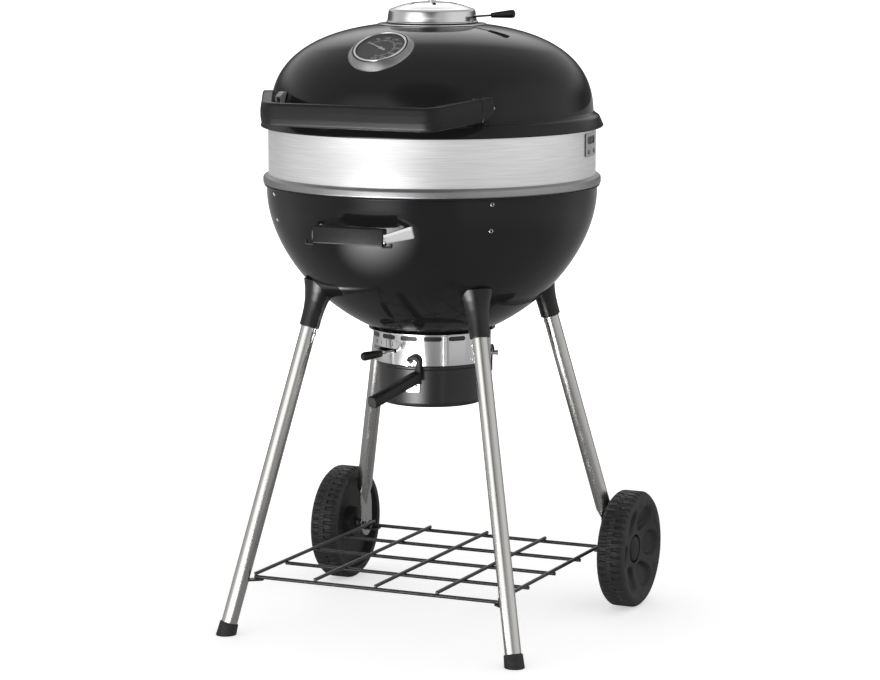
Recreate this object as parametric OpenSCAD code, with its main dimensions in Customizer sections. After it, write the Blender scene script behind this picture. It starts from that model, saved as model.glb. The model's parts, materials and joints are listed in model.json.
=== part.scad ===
// Kettle charcoal grill. A hinged lid with a top vent and a thermometer closes on a steel band and a
// bowl. Four splayed legs carry the bowl, an ash catcher with an air damper hangs under it, and a wire
// rack and two wheels are at the bottom. The kettle's axis stands on the floor at the origin, +Z is
// up, and the front, with the handles, faces -Y.

/* [Kettle] */
// Outer radius of the steel band
band_r = 286; // [284:1:288]
// Height of the bowl's rim above the floor
rim_z = 780; // [775:1:785]
// Height of the steel band
band_h = 100; // [90:1:110]
// Wall thickness of the enamelled shells
shell_t = 1.5; // [1.2:0.1:2]
// Depth of the bowl below its widest line
bowl_h = 265; // [262:1:268]
// Roundness of the bowl's curve: 2 is an ellipse, less is more pointed
bowl_n = 1.79; // [1.75:0.01:1.85]
// Radius of the lid's dome
lid_r = 282; // [281:0.5:283]
// Height of the lid's dome
lid_h = 166; // [160:1:170]
// Roundness of the dome's curve: 2 is an ellipse, more is squarer
lid_n = 2.52; // [2.4:0.01:2.6]

/* [Vents] */
// Radius of the top vent's cap
cap_r = 78; // [76:1:80]
// Direction of the top vent's lever, counted from the front towards +X
top_lever_az = 100; // [95:1:110]
// Radius of the ash housing
housing_r = 103.8; // [102:0.1:105]
// Number of air slots around the ash housing
slot_count = 15; // [9:1:15]
// Direction of the bottom damper's lever
low_lever_az = -15; // [-18:1:-12]
// Turn of the bottom damper between closed and open
damper_turn = 34; // [28:1:34]

/* [Legs and wheels] */
// Diameter of the leg tubes
leg_d = 28; // [26:1:29]
// Wheel radius
wheel_r = 105; // [100:1:108]
// Wheel width
wheel_w = 52; // [48:1:54]
// Middle of each wheel from the kettle's axis, across
wheel_x = 286; // [284:1:288]
// How far the axle lies behind the kettle's axis
axle_y = 232; // [230:1:234]

/* [Grates and rack] */
// Wire diameter of the bottom rack
rack_d = 6.5; // [6:0.5:7]
// Height of the rack's lower wires
rack_z = 100; // [98:1:102]
// Spacing of the cooking grate's bars
bar_pitch = 18; // [17:1:19]

/* [Hidden] */
$fn = 64;

// Finishes
enamel = "#2a2a2c";
plastic = "#3b3b3e";
steel = "#c8c8ca";
satin = "#9a9a9c";
rubber = "#2e2e30";
wire = "#38383a";

// Gaps: between parts that only rest on each other, and a running fit's radial clearance
rest_gap = 0.3;
run_gap = 0.05;

// Kettle heights and lips
bowl_z = rim_z - 13;
bowl_r = band_r + 2.8;
band_top = rim_z + band_h;
band_t = 1.2;
lid_bottom = band_top + rest_gap;
lid_z = band_top + 13.6;
lid_skirt_z = lid_z + 13.4;
lid_lip_r = band_r + 13.2;
shell_steps = 22;

// Top vent
vent_hole_r = 58;
flange_r = 94;
vent_z = lid_z + lid_h;
base_z0 = vent_z + 0.1;
base_t = 2;
cap_z0 = base_z0 + base_t + rest_gap;
cap_t = 1.2;
cap_h = 33;
top_lever_z = cap_z0 + 7.2;
top_lever_tilt = 4.5;

// Thermometer: its place on the dome and the tilt of its face
therm_y = 207;
therm_z = lid_z + lid_h * pow(1 - pow(therm_y / lid_r, lid_n), 1 / lid_n);
therm_tilt = 29;
dial_r = 42;

// Lid handle: half length of the straight grip, where its ends meet the lid, and their heights
grip_x = 147;
grip_y = -333.5;
grip_z = 918;
grip_end = [207, -218, 931];
handle_t = 22;
handle_h = 39;
handle_end_az = atan2(grip_end.x, -grip_end.y);

// Lid hinge at the back
hinge_y = band_r + 24;
hinge_z = band_top + 14;
hinge_pin_r = 4;
hinge_w = 60;

// Bowl handle
strap_x = 68;
strap_root_x = 87;
strap_y = -333;
strap_z = 719;
bowl_grip_x = 65;

// Ash housing, damper and pan
housing_z0 = 470;
housing_z1 = 526;
housing_t = 1;
slot_z = 517.4;
slot_w = 32;
slot_h = 8;
low_lever_z = 494;
sweep_hole_r = 8;
sweep_r0 = 26;
sweep_r1 = 88;
pan_r = 95;
pan_z0 = 395;
pan_z1 = 468;
pan_t = 1.2;
stud_az = 2.6;
stud_r = 4;
stud_z = 476;
hook_r = 14;
hook_r0 = 105.5;
hook_w = 8.2;
hook_az = stud_az + 5;

// Legs: axis points at the floor and under the bowl
leg_top_z = 580;
front_foot = [273.9, -266.5, 0];
front_top = [157, -154, 560];
rear_foot = [279, 256.1, 0];
rear_top = [159.2, 143.4, 560];
leg_t = 1.5;
socket_z = 536;
bend_z = 178;
plate_x = 243;
plate_t = 4;
plate_w = 44;
plate_z0 = 82;
plate_z1 = 150;

// Rack
rack_x = 232;
rack_y0 = -231;
rack_y1 = 242;
rack_n = 5;

// Axles
axle_r = 6;
hub_x = wheel_x + 4;

// Grates
grate_r = 270;
grate_z = rim_z - 1.5;
grate_bar = 2.5;
grate_frame = 4;
grate_split = 110;
coal_z = 600;
coal_bar = 3;

function oval_r(r, h, n, z) = r * pow(1 - pow(z / h, n), 1 / n);
function oval_point(r, h, n, t) = [r * pow(cos(t), 2 / n), h * pow(sin(t), 2 / n)];
function lid_r_at(z) = oval_r(lid_r, lid_h, lid_n, z - lid_z);
function bowl_r_at(z, t = 0) = oval_r(bowl_r - t, bowl_h - t, bowl_n, max(bowl_z - z, 0));
function sweep_z(r) = bowl_z - (bowl_h - shell_t) * pow(1 - pow(r / (bowl_r - shell_t), bowl_n), 1 / bowl_n);
function along(foot, top, z) = foot + (top - foot) * (z - foot.z) / (top.z - foot.z);

// Rows of points on the lid's and the bowl's curves, each t inside the outer face
function lid_curve(t, a0, a1) = [for (i = [0:shell_steps])
    [0, lid_z] + oval_point(lid_r - t, lid_h - t, lid_n, a0 + (a1 - a0) * i / shell_steps)];
function bowl_curve(t, a0, a1) = [for (i = [0:shell_steps])
    let (p = oval_point(bowl_r - t, bowl_h - t, bowl_n, a0 + (a1 - a0) * i / shell_steps))
    [p.x, bowl_z - p.y]];
function reversed(list) = [for (i = [len(list) - 1:-1:0]) list[i]];

// A round bar from one point to another
module rod(from, to, r) {
    v = to - from;
    translate(from)
        rotate([0, acos(v.z / norm(v)), atan2(v.y, v.x)])
            cylinder(h = norm(v), r = r);
}

// Puts its children r out from the axis, local +X outwards, az round from the front towards +X
module at_azimuth(az, r = 0, z = 0) {
    rotate([0, 0, az - 90]) translate([r, 0, z]) children();
}

// A plate of width w across the direction az, drawn as radius and height
module radial_plate(az, w) {
    rotate([0, 0, az - 90])
        rotate([90, 0, 0])
            translate([0, 0, -w / 2]) linear_extrude(w) children();
}

module both_sides() {
    children();
    mirror([1, 0, 0]) children();
}

module ring(r0, r1, h) {
    difference() {
        cylinder(h = h, r = r1);
        translate([0, 0, -1]) cylinder(h = h + 2, r = r0);
    }
}

// A slot with round ends, drawn flat
module pill(w, h) {
    square([w - h, h], center = true);
    for (s = [-1, 1]) translate([s * (w - h) / 2, 0]) circle(d = h);
}

module rounded_rect(w, h, r) {
    square([w - 2 * r, h], center = true);
    square([w, h - 2 * r], center = true);
    for (x = [-1, 1], y = [-1, 1]) translate([x * (w / 2 - r), y * (h / 2 - r)]) circle(r);
}

// Drills or cuts a flat outline outwards through a wall at radius r
module cut_outwards(az, r, z, depth) {
    at_azimuth(az, r - depth / 2, z)
        rotate([90, 0, 90]) linear_extrude(depth) children();
}

// A wedge of a full turn between two directions
module sector(az0, az1, r, z, h) {
    steps = 6;
    points = [for (i = [0:steps])
        let (a = az0 + (az1 - az0) * i / steps - 90) [r * cos(a), r * sin(a)]];
    translate([0, 0, z]) linear_extrude(h) polygon(concat([[0, 0]], points));
}

// ---- Lid ----

// The dome as a solid, a little larger than the lid's outside, to cut parts that sit on it
module lid_solid() {
    grow = 0.3;
    rotate_extrude($fn = 96)
        polygon(concat([[0, lid_z - 5], [lid_r + grow, lid_z - 5]], lid_curve(-grow, 0, 90)));
}

module lid_shell() {
    rim = [
        [lid_r - shell_t, lid_skirt_z], [lid_r + 3, lid_skirt_z - 6.5], [lid_r + 8, lid_skirt_z - 9.7],
        [lid_lip_r - 5.2, band_top + 10], [lid_lip_r - 2, lid_bottom + shell_t],
        [lid_r - 3, lid_bottom + shell_t], [lid_r - 3, lid_bottom], [lid_lip_r - 1, lid_bottom],
        [lid_lip_r, lid_bottom + 2], [lid_lip_r - 3.4, band_top + 10], [lid_r + 9.8, lid_skirt_z - 8],
        [lid_r + 4, lid_skirt_z - 4.5]
    ];
    low = asin(pow((lid_skirt_z - lid_z) / lid_h, lid_n / 2));
    high = acos(pow(vent_hole_r / lid_r, lid_n / 2));
    color(enamel) difference() {
        rotate_extrude($fn = 96)
            polygon(concat(lid_curve(0, low, high), reversed(lid_curve(shell_t, low, high)), rim));
        on_dome() translate([0, 0, -20]) cylinder(h = 30, r = 7);
    }
}

// One cross-section of the lid handle, standing upright and facing its own direction
module handle_slice(at, az) {
    translate(at) rotate([0, 0, az]) rotate([90, 0, 90])
        translate([0, 0, -0.5]) linear_extrude(1)
            polygon([
                [-handle_t / 2, -13], [-handle_t / 2 + 3, -handle_h / 2], [5, -handle_h / 2],
                [9, -15], [11, -6], [11, 6], [9, 15], [5, handle_h / 2],
                [-handle_t / 2 + 3, handle_h / 2], [-handle_t / 2, 13]
            ]);
}

// Turns a slice's outline so that its front is on the outside
module handle_front() {
    mirror([0, 1, 0]) children();
}

module lid_handle() {
    corner_az = 32;
    end_az = 64;
    color(plastic) both_sides() handle_front() {
        hull() {
            handle_slice([0.5, -grip_y, grip_z], 0);
            handle_slice([grip_x - 10, -grip_y, grip_z], 0);
        }
        hull() {
            handle_slice([grip_x - 10, -grip_y, grip_z], 0);
            handle_slice([grip_x + 8, -grip_y - 9, grip_z + 1], -corner_az);
        }
        hull() {
            handle_slice([grip_x + 8, -grip_y - 9, grip_z + 1], -corner_az);
            handle_slice([grip_end.x, -grip_end.y, grip_end.z], -end_az);
        }
    }
}

module lid_handle_brackets() {
    outer_r = norm([grip_end.x, grip_end.y]) - 12.2;
    color(steel) both_sides() difference() {
        radial_plate(handle_end_az, 30)
            polygon([
                [lid_r - 20, grip_z], [outer_r, grip_z], [outer_r, grip_z + 28],
                [outer_r - 6, grip_z + 34], [lid_r - 14, grip_z + 41]
            ]);
        lid_solid();
    }
}

module lid_bolts() {
    color(satin) both_sides() {
        for (az = [handle_end_az - 2, handle_end_az + 2])
            at_azimuth(az, 0, grip_z + 12) rotate([0, 90, 0]) {
                translate([0, 0, lid_r - 8]) cylinder(h = 13, r = 2.5);
                translate([0, 0, lid_r - 11]) cylinder(h = 4, r = 5);
            }
        translate([18, 0, band_top + 34]) rotate([-90, 0, 0]) {
            translate([0, 0, band_r - 14]) cylinder(h = 12, r = 2.5);
            translate([0, 0, band_r - 2.5]) cylinder(h = 3, r = 5);
        }
    }
}

// ---- Top vent ----

module top_vent_flange() {
    color(steel) translate([0, 0, vent_z]) rotate_extrude($fn = 96)
        polygon([
            [vent_hole_r + 2, -1.1], [cap_r, -2.2], [flange_r, -3.8],
            [flange_r, -2.7], [cap_r, -1.1], [vent_hole_r + 2, 0]
        ]);
}

module top_vent_base() {
    color(enamel) difference() {
        translate([0, 0, base_z0]) cylinder(h = base_t, r = cap_r + 1, $fn = 96);
        translate([0, 0, base_z0 - 1]) cylinder(h = base_t + 2, r = 3.3);
        for (a = [0:90:270]) rotate([0, 0, a + 45])
            translate([32, 0, base_z0 - 1]) cylinder(h = base_t + 2, r = 14);
    }
}

module top_vent_cap() {
    crown = [[66.8, 21.5], [59.9, 25], [49.5, 28], [37, 31], [20, cap_h - 0.5], [3.3, cap_h]];
    outline = concat(
        [[cap_r + 2, 0], [cap_r + 2, 1.4], [cap_r, 2], [cap_r - 2, 8], [cap_r - 5.1, 18]], crown,
        reversed([for (p = crown) p - [0.5, cap_t]]),
        [[cap_r - 6.6, 17.4], [cap_r - 3.4, 8], [cap_r - cap_t, 0]]
    );
    color(steel) difference() {
        translate([0, 0, cap_z0]) rotate_extrude($fn = 96) polygon(outline);
        for (a = [0:60:300]) rotate([0, 0, a])
            translate([34, 0, cap_z0 + 20]) linear_extrude(20) pill(26, 6);
        sector(top_lever_az - 4, top_lever_az + 64, cap_r + 10, top_lever_z - 2.6, 5.2);
    }
}

module top_vent_bolt() {
    color(steel) {
        translate([0, 0, base_z0 - 8]) cylinder(h = cap_z0 + cap_h + 1 - base_z0 + 8, r = 3);
        translate([0, 0, cap_z0 + cap_h]) cylinder(h = 2, r = 7);
        translate([0, 0, base_z0 - 7]) cylinder(h = 5, r = 6, $fn = 6);
    }
}

module top_damper_disc() {
    color(satin) difference() {
        translate([0, 0, cap_z0 + 0.3]) cylinder(h = 1.2, r = 66);
        translate([0, 0, cap_z0 - 1]) cylinder(h = 4, r = 3 + run_gap);
        for (a = [0:90:270]) rotate([0, 0, a])
            translate([32, 0, cap_z0 - 1]) cylinder(h = 4, r = 13);
    }
}

// The lever's rod: a post up from the disc and a bar out through the cap's side
module top_damper_lever() {
    color(satin) {
        at_azimuth(top_lever_az, 60, cap_z0 + 1.5) cylinder(h = 6, r = 2.4);
        at_azimuth(top_lever_az, 60, top_lever_z - 0.8)
            rotate([0, 90 - top_lever_tilt, 0]) cylinder(h = 48, r = 1.9);
    }
}

module top_damper_grip() {
    color(plastic) at_azimuth(top_lever_az, 60, top_lever_z - 0.8) rotate([0, 90 - top_lever_tilt, 0])
        rotate_extrude()
            polygon([
                [0, 48], [0, 88], [4.5, 88], [7, 86], [7.4, 82], [4.4, 46], [2, 46], [2, 48]
            ]);
}

// ---- Thermometer ----

module on_dome() {
    translate([0, -therm_y, therm_z]) rotate([therm_tilt, 0, 0]) children();
}

module thermometer_housing() {
    color(satin) difference() {
        on_dome() rotate_extrude($fn = 96)
            polygon([
                [0, -10], [57, -10], [55.5, -6], [48, 3.6],
                [dial_r + 1.2, 3.6], [dial_r + 1.2, 0.2], [0, 0.2]
            ]);
        lid_solid();
        on_dome() translate([0, 0, -12]) cylinder(h = 20, r = 4.2);
    }
}

module thermometer_bezel() {
    color(steel) on_dome() rotate_extrude($fn = 96)
        polygon([
            [dial_r - 2, 3.9], [dial_r + 4, 3.9], [dial_r + 3.2, 5.6], [dial_r + 0.6, 6],
            [dial_r - 1.4, 5]
        ]);
}

module thermometer_dial() {
    color(enamel) on_dome() translate([0, 0, 0.5]) difference() {
        cylinder(h = 0.8, r = dial_r);
        translate([0, 0, -1]) cylinder(h = 3, r = 1.5);
    }
}

module thermometer_needle() {
    color("white") on_dome() translate([0, 0, 1.8]) {
        cylinder(h = 0.6, r = 3.5);
        rotate([0, 0, 60]) linear_extrude(0.6) polygon([[-2.2, -12], [2.2, -12], [0.5, 32], [-0.5, 32]]);
    }
}

module thermometer_lens() {
    color("lightblue") on_dome() translate([0, 0, 2.7]) cylinder(h = 1, r = dial_r + 1);
}

module thermometer_probe() {
    color(steel) on_dome() translate([0, 0, -70]) cylinder(h = 70, r = 3);
}

module thermometer_nut() {
    color(steel) on_dome() translate([0, 0, -9]) difference() {
        cylinder(h = 5, r = 10, $fn = 6);
        translate([0, 0, -1]) cylinder(h = 7, r = 3.2);
    }
}

// ---- Lid hinge ----

module lid_hinge_leaf() {
    color(steel) difference() {
        union() {
            translate([-20, 0, 0]) rotate([90, 0, 90]) linear_extrude(40)
                polygon([
                    [hinge_y, hinge_z + 7.5], [hinge_y - 3, hinge_z + 7], [lid_r + 5.5, hinge_z + 16],
                    [lid_r + 1.5, band_top + 44], [lid_r - 1.5, band_top + 44], [lid_r + 3.2, hinge_z + 13.6],
                    [hinge_y - 6, hinge_z + 3]
                ]);
            translate([-20, hinge_y, hinge_z]) rotate([0, 90, 0]) cylinder(h = 40, r = 7.5);
        }
        translate([-25, hinge_y, hinge_z]) rotate([0, 90, 0]) cylinder(h = 50, r = hinge_pin_r + run_gap);
        lid_solid();
    }
}

// Two ears reach from a plate on the band, past the lid's lip, to the hinge pin
module band_hinge_bracket() {
    ear = 4;
    color(steel) difference() {
        union() {
            for (x = [4 - hinge_w / 2, hinge_w / 2 - 4 - ear]) {
                translate([x, 0, 0]) rotate([90, 0, 90]) linear_extrude(ear)
                    polygon([
                        [band_r - 8, band_top - 60], [band_r + 4, band_top - 60],
                        [hinge_y + 5, hinge_z - 9], [hinge_y + 5, hinge_z], [hinge_y - 5, hinge_z],
                        [hinge_y - 8.5, hinge_z - 17], [band_r - 8, band_top - 22]
                    ]);
                translate([x, hinge_y, hinge_z]) rotate([0, 90, 0]) cylinder(h = ear, r = 7);
            }
            translate([-hinge_w / 2, band_r - 8, band_top - 64]) cube([hinge_w, 10.5, 46]);
        }
        translate([0, 0, band_top - 70]) cylinder(h = 100, r = band_r + rest_gap, $fn = 360);
        translate([-50, hinge_y, hinge_z]) rotate([0, 90, 0]) cylinder(h = 100, r = hinge_pin_r + run_gap);
    }
}

module hinge_pin() {
    color(steel) translate([-hinge_w / 2, hinge_y, hinge_z]) rotate([0, 90, 0]) {
        cylinder(h = hinge_w, r = hinge_pin_r);
        translate([0, 0, -2.5]) cylinder(h = 3, r = 6);
        translate([0, 0, hinge_w - 0.5]) cylinder(h = 3, r = 6);
    }
}

// ---- Band and rim ----

module steel_band() {
    color(steel) rotate_extrude($fn = 128)
        polygon([
            [band_r - band_t, rim_z + 0.5], [band_r, rim_z + 0.5], [band_r, band_top],
            [band_r - 5, band_top], [band_r - 5, band_top - 3], [band_r - band_t, band_top - 3]
        ]);
}

module trim_ring() {
    color(satin) rotate_extrude($fn = 128)
        polygon([
            [band_r + 0.2, rim_z + 1], [band_r + 7.5, rim_z + 1], [band_r + 9, rim_z + 3],
            [band_r + 9, rim_z + 12], [band_r + 7, rim_z + 15], [band_r + 2, rim_z + 17],
            [band_r + 0.2, rim_z + 17]
        ]);
}

module side_slot_plates() {
    mid_az = 97.3;
    color(steel) both_sides() difference() {
        intersection() {
            translate([0, 0, band_top - 47]) ring(band_r + 0.2, band_r + 1.7, 42);
            cut_outwards(mid_az, band_r, band_top - 25.8, 30) rounded_rect(66, 41, 5);
        }
        cut_outwards(mid_az - 0.4, band_r, band_top - 18, 30) pill(46, 13);
    }
}

// ---- Bowl ----

// The bowl as a solid, grown by a gap, to cut parts that sit on it
module bowl_solid(grow) {
    rotate_extrude($fn = 96)
        polygon(concat([[0, rim_z], [bowl_r + grow, rim_z]], bowl_curve(-grow, 0, 90)));
}

module bowl_shell() {
    lip = bowl_r + 4.5;
    color(enamel) difference() {
        rotate_extrude($fn = 96)
            polygon(concat(
                [[lip, rim_z], [lip, rim_z - 2], [bowl_r + 0.5, rim_z - 3]], bowl_curve(0, 0, 90),
                reversed(bowl_curve(shell_t, 0, 90)), [[bowl_r - shell_t, rim_z]]
            ));
        for (a = [0:120:240]) intersection() {
            translate([0, 0, bowl_z - bowl_h - 2]) ring(sweep_r0, sweep_r1, 40);
            sector(a - 17, a + 17, sweep_r1 + 20, bowl_z - bowl_h - 2, 40);
        }
        translate([0, 0, bowl_z - bowl_h - 5]) cylinder(h = 20, r = sweep_hole_r + run_gap);
    }
}

module grate_supports() {
    color(satin) for (az = [45:90:315]) at_azimuth(az, 0, 0) {
        translate([band_r - 10.8, -12, rim_z - 66]) cube([1.6, 24, 60]);
        translate([band_r - 32, -12, rim_z - 7.6]) cube([22.8, 24, 1.6]);
    }
}

// A rivet along +X: a stem and a low round head
module rivet(length) {
    rotate([0, 90, 0]) rotate_extrude()
        polygon([
            [0, 0], [2, 0], [2, length], [3.4, length], [3.2, length + 1], [2, length + 1.8],
            [0, length + 1.8]
        ]);
}

module rivets() {
    color(steel) {
        for (az = [45:90:315], z = [rim_z - 10, rim_z - 55])
            at_azimuth(az, band_r - 11.2, z) rivet(bowl_r_at(z) - band_r + 11.4);
        for (az = [94, 100.6, -94, -100.6]) at_azimuth(az, band_r - 3, band_top - 38) rivet(4.8);
        for (az = [176.4, 183.6], z = [band_top - 52, band_top - 28])
            at_azimuth(az, band_r - 3, z) rivet(5.7);
    }
}

module bowl_handle_strap() {
    tall = 15;
    color(steel) difference() {
        union() {
            translate([-strap_x, strap_y, strap_z - tall / 2]) cube([2 * strap_x, 2.5, tall]);
            both_sides() hull() {
                translate([strap_x - 2.5, strap_y, strap_z - tall / 2]) cube([2.5, 2.5, tall]);
                translate([strap_root_x, -bowl_r_at(strap_z) + 6, strap_z - 5]) cube([2.5, 8, 22]);
            }
        }
        bowl_solid(0.1);
    }
}

module bowl_handle_grip() {
    color(plastic) difference() {
        union() {
            translate([-bowl_grip_x, strap_y - 5, strap_z - 12]) cube([2 * bowl_grip_x, 19, 28]);
            both_sides() {
                translate([bowl_grip_x - 1, strap_y - 3, strap_z - 15.5]) cube([16, 6, 3.6]);
                translate([bowl_grip_x + 11, strap_y - 3, strap_z - 15.5]) cube([4, 6, 7]);
            }
        }
        translate([-strap_x, strap_y - 0.2, strap_z - 7.8]) cube([2 * strap_x, 2.9, 15.6]);
    }
}

module bowl_handle_screws() {
    color(satin) both_sides() for (z = [strap_z + 1, strap_z + 11])
        rod([strap_root_x - 10, -bowl_r_at(z) + 3, z], [strap_root_x - 10, -bowl_r_at(z) + 22, z], 2.5);
}

// ---- Grates ----

// Half the chord of a circle of radius r at a distance x from its middle
function half_chord(r, x) = sqrt(r * r - x * x);

module charcoal_grate() {
    outer = bowl_r_at(coal_z - coal_bar, shell_t) - 1.5;
    color(wire) {
        translate([0, 0, coal_z - coal_bar]) ring(outer - 6, outer, 6);
        for (x = [-165:30:165]) let (y = half_chord(outer - 3, x))
            rod([x, -y, coal_z], [x, y, coal_z], coal_bar);
        for (y = [-90, 90]) let (x = half_chord(outer - 14, y))
            rod([-x, y, coal_z - 5], [x, y, coal_z - 5], coal_bar);
    }
}

// The part of the cooking grate's rim between two planes across the grill
module grate_rim(x0, x1) {
    intersection() {
        translate([0, 0, grate_z - 3]) ring(grate_r - 7, grate_r, 6);
        translate([x0, -grate_r - 5, grate_z - 5]) cube([x1 - x0, 2 * grate_r + 10, 10]);
    }
}

module grate_bars(first, last) {
    for (x = [first:bar_pitch:last]) let (y = half_chord(grate_r - 4, x))
        rod([x, -y, grate_z], [x, y, grate_z], grate_bar);
}

module cooking_grate() {
    inner = grate_split - 11;
    y = half_chord(grate_r - 4, grate_split);
    color(wire) {
        grate_rim(-grate_split, grate_split);
        grate_bars(-inner + 9, inner - 8);
        for (s = [-1, 1]) rod([s * grate_split, -y, grate_z], [s * grate_split, y, grate_z], grate_frame);
        for (s = [-1, 1]) rod([-grate_split, s * 90, grate_z - 4], [grate_split, s * 90, grate_z - 4], 2.5);
    }
}

// A side flap: its rim, bars and two loops round the middle grate's side bar
module grate_flap() {
    edge = grate_split + 12;
    y = half_chord(grate_r - 4, edge);
    knuckle_y = 130;
    color(wire) difference() {
        union() {
            grate_rim(edge, grate_r);
            grate_bars(edge + bar_pitch, grate_r - 12);
            rod([edge, -y, grate_z], [edge, y, grate_z], 3);
            for (s = [-1, 1]) {
                translate([grate_split, s * knuckle_y - 8, grate_z]) rotate([-90, 0, 0])
                    cylinder(h = 16, r = 6.5);
                translate([grate_split, s * knuckle_y - 8, grate_z - 2]) cube([12, 16, 4]);
                rod([edge, s * 70, grate_z - 4], [half_chord(grate_r - 4, 70), s * 70, grate_z - 4], 2.5);
            }
        }
        rod([grate_split, -grate_r, grate_z], [grate_split, grate_r, grate_z], grate_frame + run_gap);
    }
}

module grate_flap_right() {
    grate_flap();
}

module grate_flap_left() {
    mirror([1, 0, 0]) grate_flap();
}

// ---- Ash housing and damper ----

module ash_housing() {
    color(steel) difference() {
        union() {
            translate([0, 0, housing_z0]) ring(housing_r - housing_t, housing_r, housing_z1 - housing_z0);
            translate([0, 0, housing_z1 - 1.2]) ring(housing_r - housing_t, housing_r + 8, 1.2);
            at_azimuth(37, housing_r - 0.5, housing_z0) translate([0, -4, 0])
                cube([2.5, 8, slot_z - housing_z0 + 6]);
            at_azimuth(67, housing_r - 0.5, stud_z) translate([0, -3, 0]) cube([4, 6, 5]);
        }
        for (i = [0:slot_count - 1])
            cut_outwards(1.5 + i * 360 / slot_count, housing_r, slot_z, 20) pill(slot_w, slot_h);
        intersection() {
            translate([0, 0, low_lever_z - 4]) ring(housing_r - 5, housing_r + 5, 8);
            sector(low_lever_az - damper_turn - 3, low_lever_az + 3, housing_r + 30, low_lever_z - 4, 8);
        }
    }
}

module ash_scale_plate() {
    color(satin) intersection() {
        translate([0, 0, low_lever_z + 5]) ring(housing_r + 0.1, housing_r + 0.9, 13.4);
        sector(low_lever_az - damper_turn - 4, low_lever_az + 3, housing_r + 30, low_lever_z + 4, 20);
    }
}

module housing_studs() {
    color(plastic) for (a = [0:120:240]) at_azimuth(stud_az + a, housing_r + 0.1, stud_z)
        rotate([0, 90, 0]) {
            cylinder(h = 11.5, r = stud_r);
            translate([0, 0, 11.4]) cylinder(h = 2, r = stud_r + 1);
        }
}

// Three blades on a shaft, which follow the inside of the bowl's bottom over its three openings
module sweep_damper() {
    lift = 1;
    color(satin) {
        intersection() {
            rotate_extrude($fn = 96)
                polygon(concat(
                    [for (r = [sweep_hole_r + 6:8:sweep_r1 + 6]) [r, sweep_z(r) + lift]],
                    [for (r = [sweep_r1 + 6:-8:sweep_hole_r + 6]) [r, sweep_z(r) + lift + 1.2]]
                ));
            union() {
                for (a = [0:120:240]) sector(a - 19, a + 19, 140, 480, 80);
                cylinder(h = 800, r = 22);
            }
        }
        translate([0, 0, low_lever_z - 6])
            cylinder(h = sweep_z(14) + 9 - low_lever_z, r = sweep_hole_r);
        translate([0, 0, sweep_z(14) + lift]) cylinder(h = 4, r = 16);
    }
}

module sweep_lever() {
    color(satin) at_azimuth(low_lever_az, sweep_hole_r - 1, low_lever_z - 0.5)
        rotate([0, 90, 0]) cylinder(h = 136, r = 2.4);
}

module sweep_grip() {
    color(plastic) at_azimuth(low_lever_az, sweep_hole_r - 1, low_lever_z - 0.5) rotate([0, 90, 0])
        rotate_extrude()
            polygon([
                [0, 136], [0, 180], [5, 180], [7.4, 177], [7.8, 172], [6, 133], [4.4, 130],
                [2.5, 130], [2.5, 136]
            ]);
}

// ---- Ash pan ----

module ash_pan() {
    color(enamel) rotate_extrude($fn = 96)
        polygon([
            [0, pan_z0], [pan_r - 8, pan_z0], [pan_r - 3, pan_z0 + 2.5], [pan_r - 0.8, pan_z0 + 7],
            [pan_r, pan_z1 - 6], [pan_r + 3, pan_z1 - 3], [pan_r + 3, pan_z1],
            [pan_r + 1.8, pan_z1], [pan_r + 1.8, pan_z1 - 2.5], [pan_r - pan_t, pan_z1 - 5.5],
            [pan_r - 2, pan_z0 + 7.2], [pan_r - 4, pan_z0 + 3.6], [pan_r - 8, pan_z0 + pan_t],
            [0, pan_z0 + pan_t]
        ]);
}

// A hook that opens backwards round the turn, with its stem going down; drawn along the wall and up
module hook_outline() {
    difference() {
        union() {
            circle(hook_r);
            translate([2, -34]) square([hook_r - 2, 34]);
        }
        circle(hook_r - 8.5);
        translate([-hook_r - 2, -4.4]) square([hook_r + 2, 2 * stud_r + 0.7]);
        translate([-hook_r - 2, -hook_r - 2]) square([hook_r + 3, hook_r + 2]);
    }
}

module ash_pan_handle() {
    arm_root = [19, -106, 452];
    arm_end = [-9, -226, 423];
    color(plastic) {
        at_azimuth(hook_az, hook_r0, stud_z) rotate([90, 0, 90]) linear_extrude(hook_w) hook_outline();
        hull() {
            translate(arm_root + [-9, -8, -10]) cube([16, 8, 20]);
            translate(arm_end + [-9.5, 0, -10]) cube([19, 3, 20]);
        }
    }
}

module ash_pan_bracket() {
    color(steel) difference() {
        union() {
            at_azimuth(hook_az - 4, pan_r + 0.3, pan_z0 + 27) translate([0, -12, 0]) cube([1.8, 24, 19]);
            at_azimuth(hook_az - 4, pan_r + 0.3, pan_z0 + 44) translate([0, -6, 0]) cube([10, 12, 2]);
        }
        cylinder(h = 600, r = pan_r + 0.2, $fn = 96);
    }
}

module ash_pan_screw() {
    color(steel) at_azimuth(hook_az - 4, pan_r - 3, pan_z0 + 37) rotate([0, 90, 0]) {
        cylinder(h = 7, r = 2.5);
        translate([0, 0, 5.3]) cylinder(h = 2.2, r = 5.5);
    }
}

module ash_pan_hooks() {
    color(satin) for (a = [120, 240]) at_azimuth(hook_az + a, hook_r0 + 2, stud_z) {
        rotate([90, 0, 90]) linear_extrude(3) hook_outline();
        translate([-9.8, 4, -34]) cube([12.8, 8, 2]);
    }
}

// ---- Legs ----

// A leg tube's outside, or its inside when t is its wall
module leg_bar(foot, top, z0, z1, t = 0) {
    rod(along(foot, top, z0), along(foot, top, z1), leg_d / 2 - t);
}

module leg_front() {
    color(steel) difference() {
        leg_bar(front_foot, front_top, 9, leg_top_z);
        leg_bar(front_foot, front_top, 0, leg_top_z + 10, leg_t);
    }
}

module leg_front_right() {
    leg_front();
}

module leg_front_left() {
    mirror([1, 0, 0]) leg_front();
}

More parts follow.
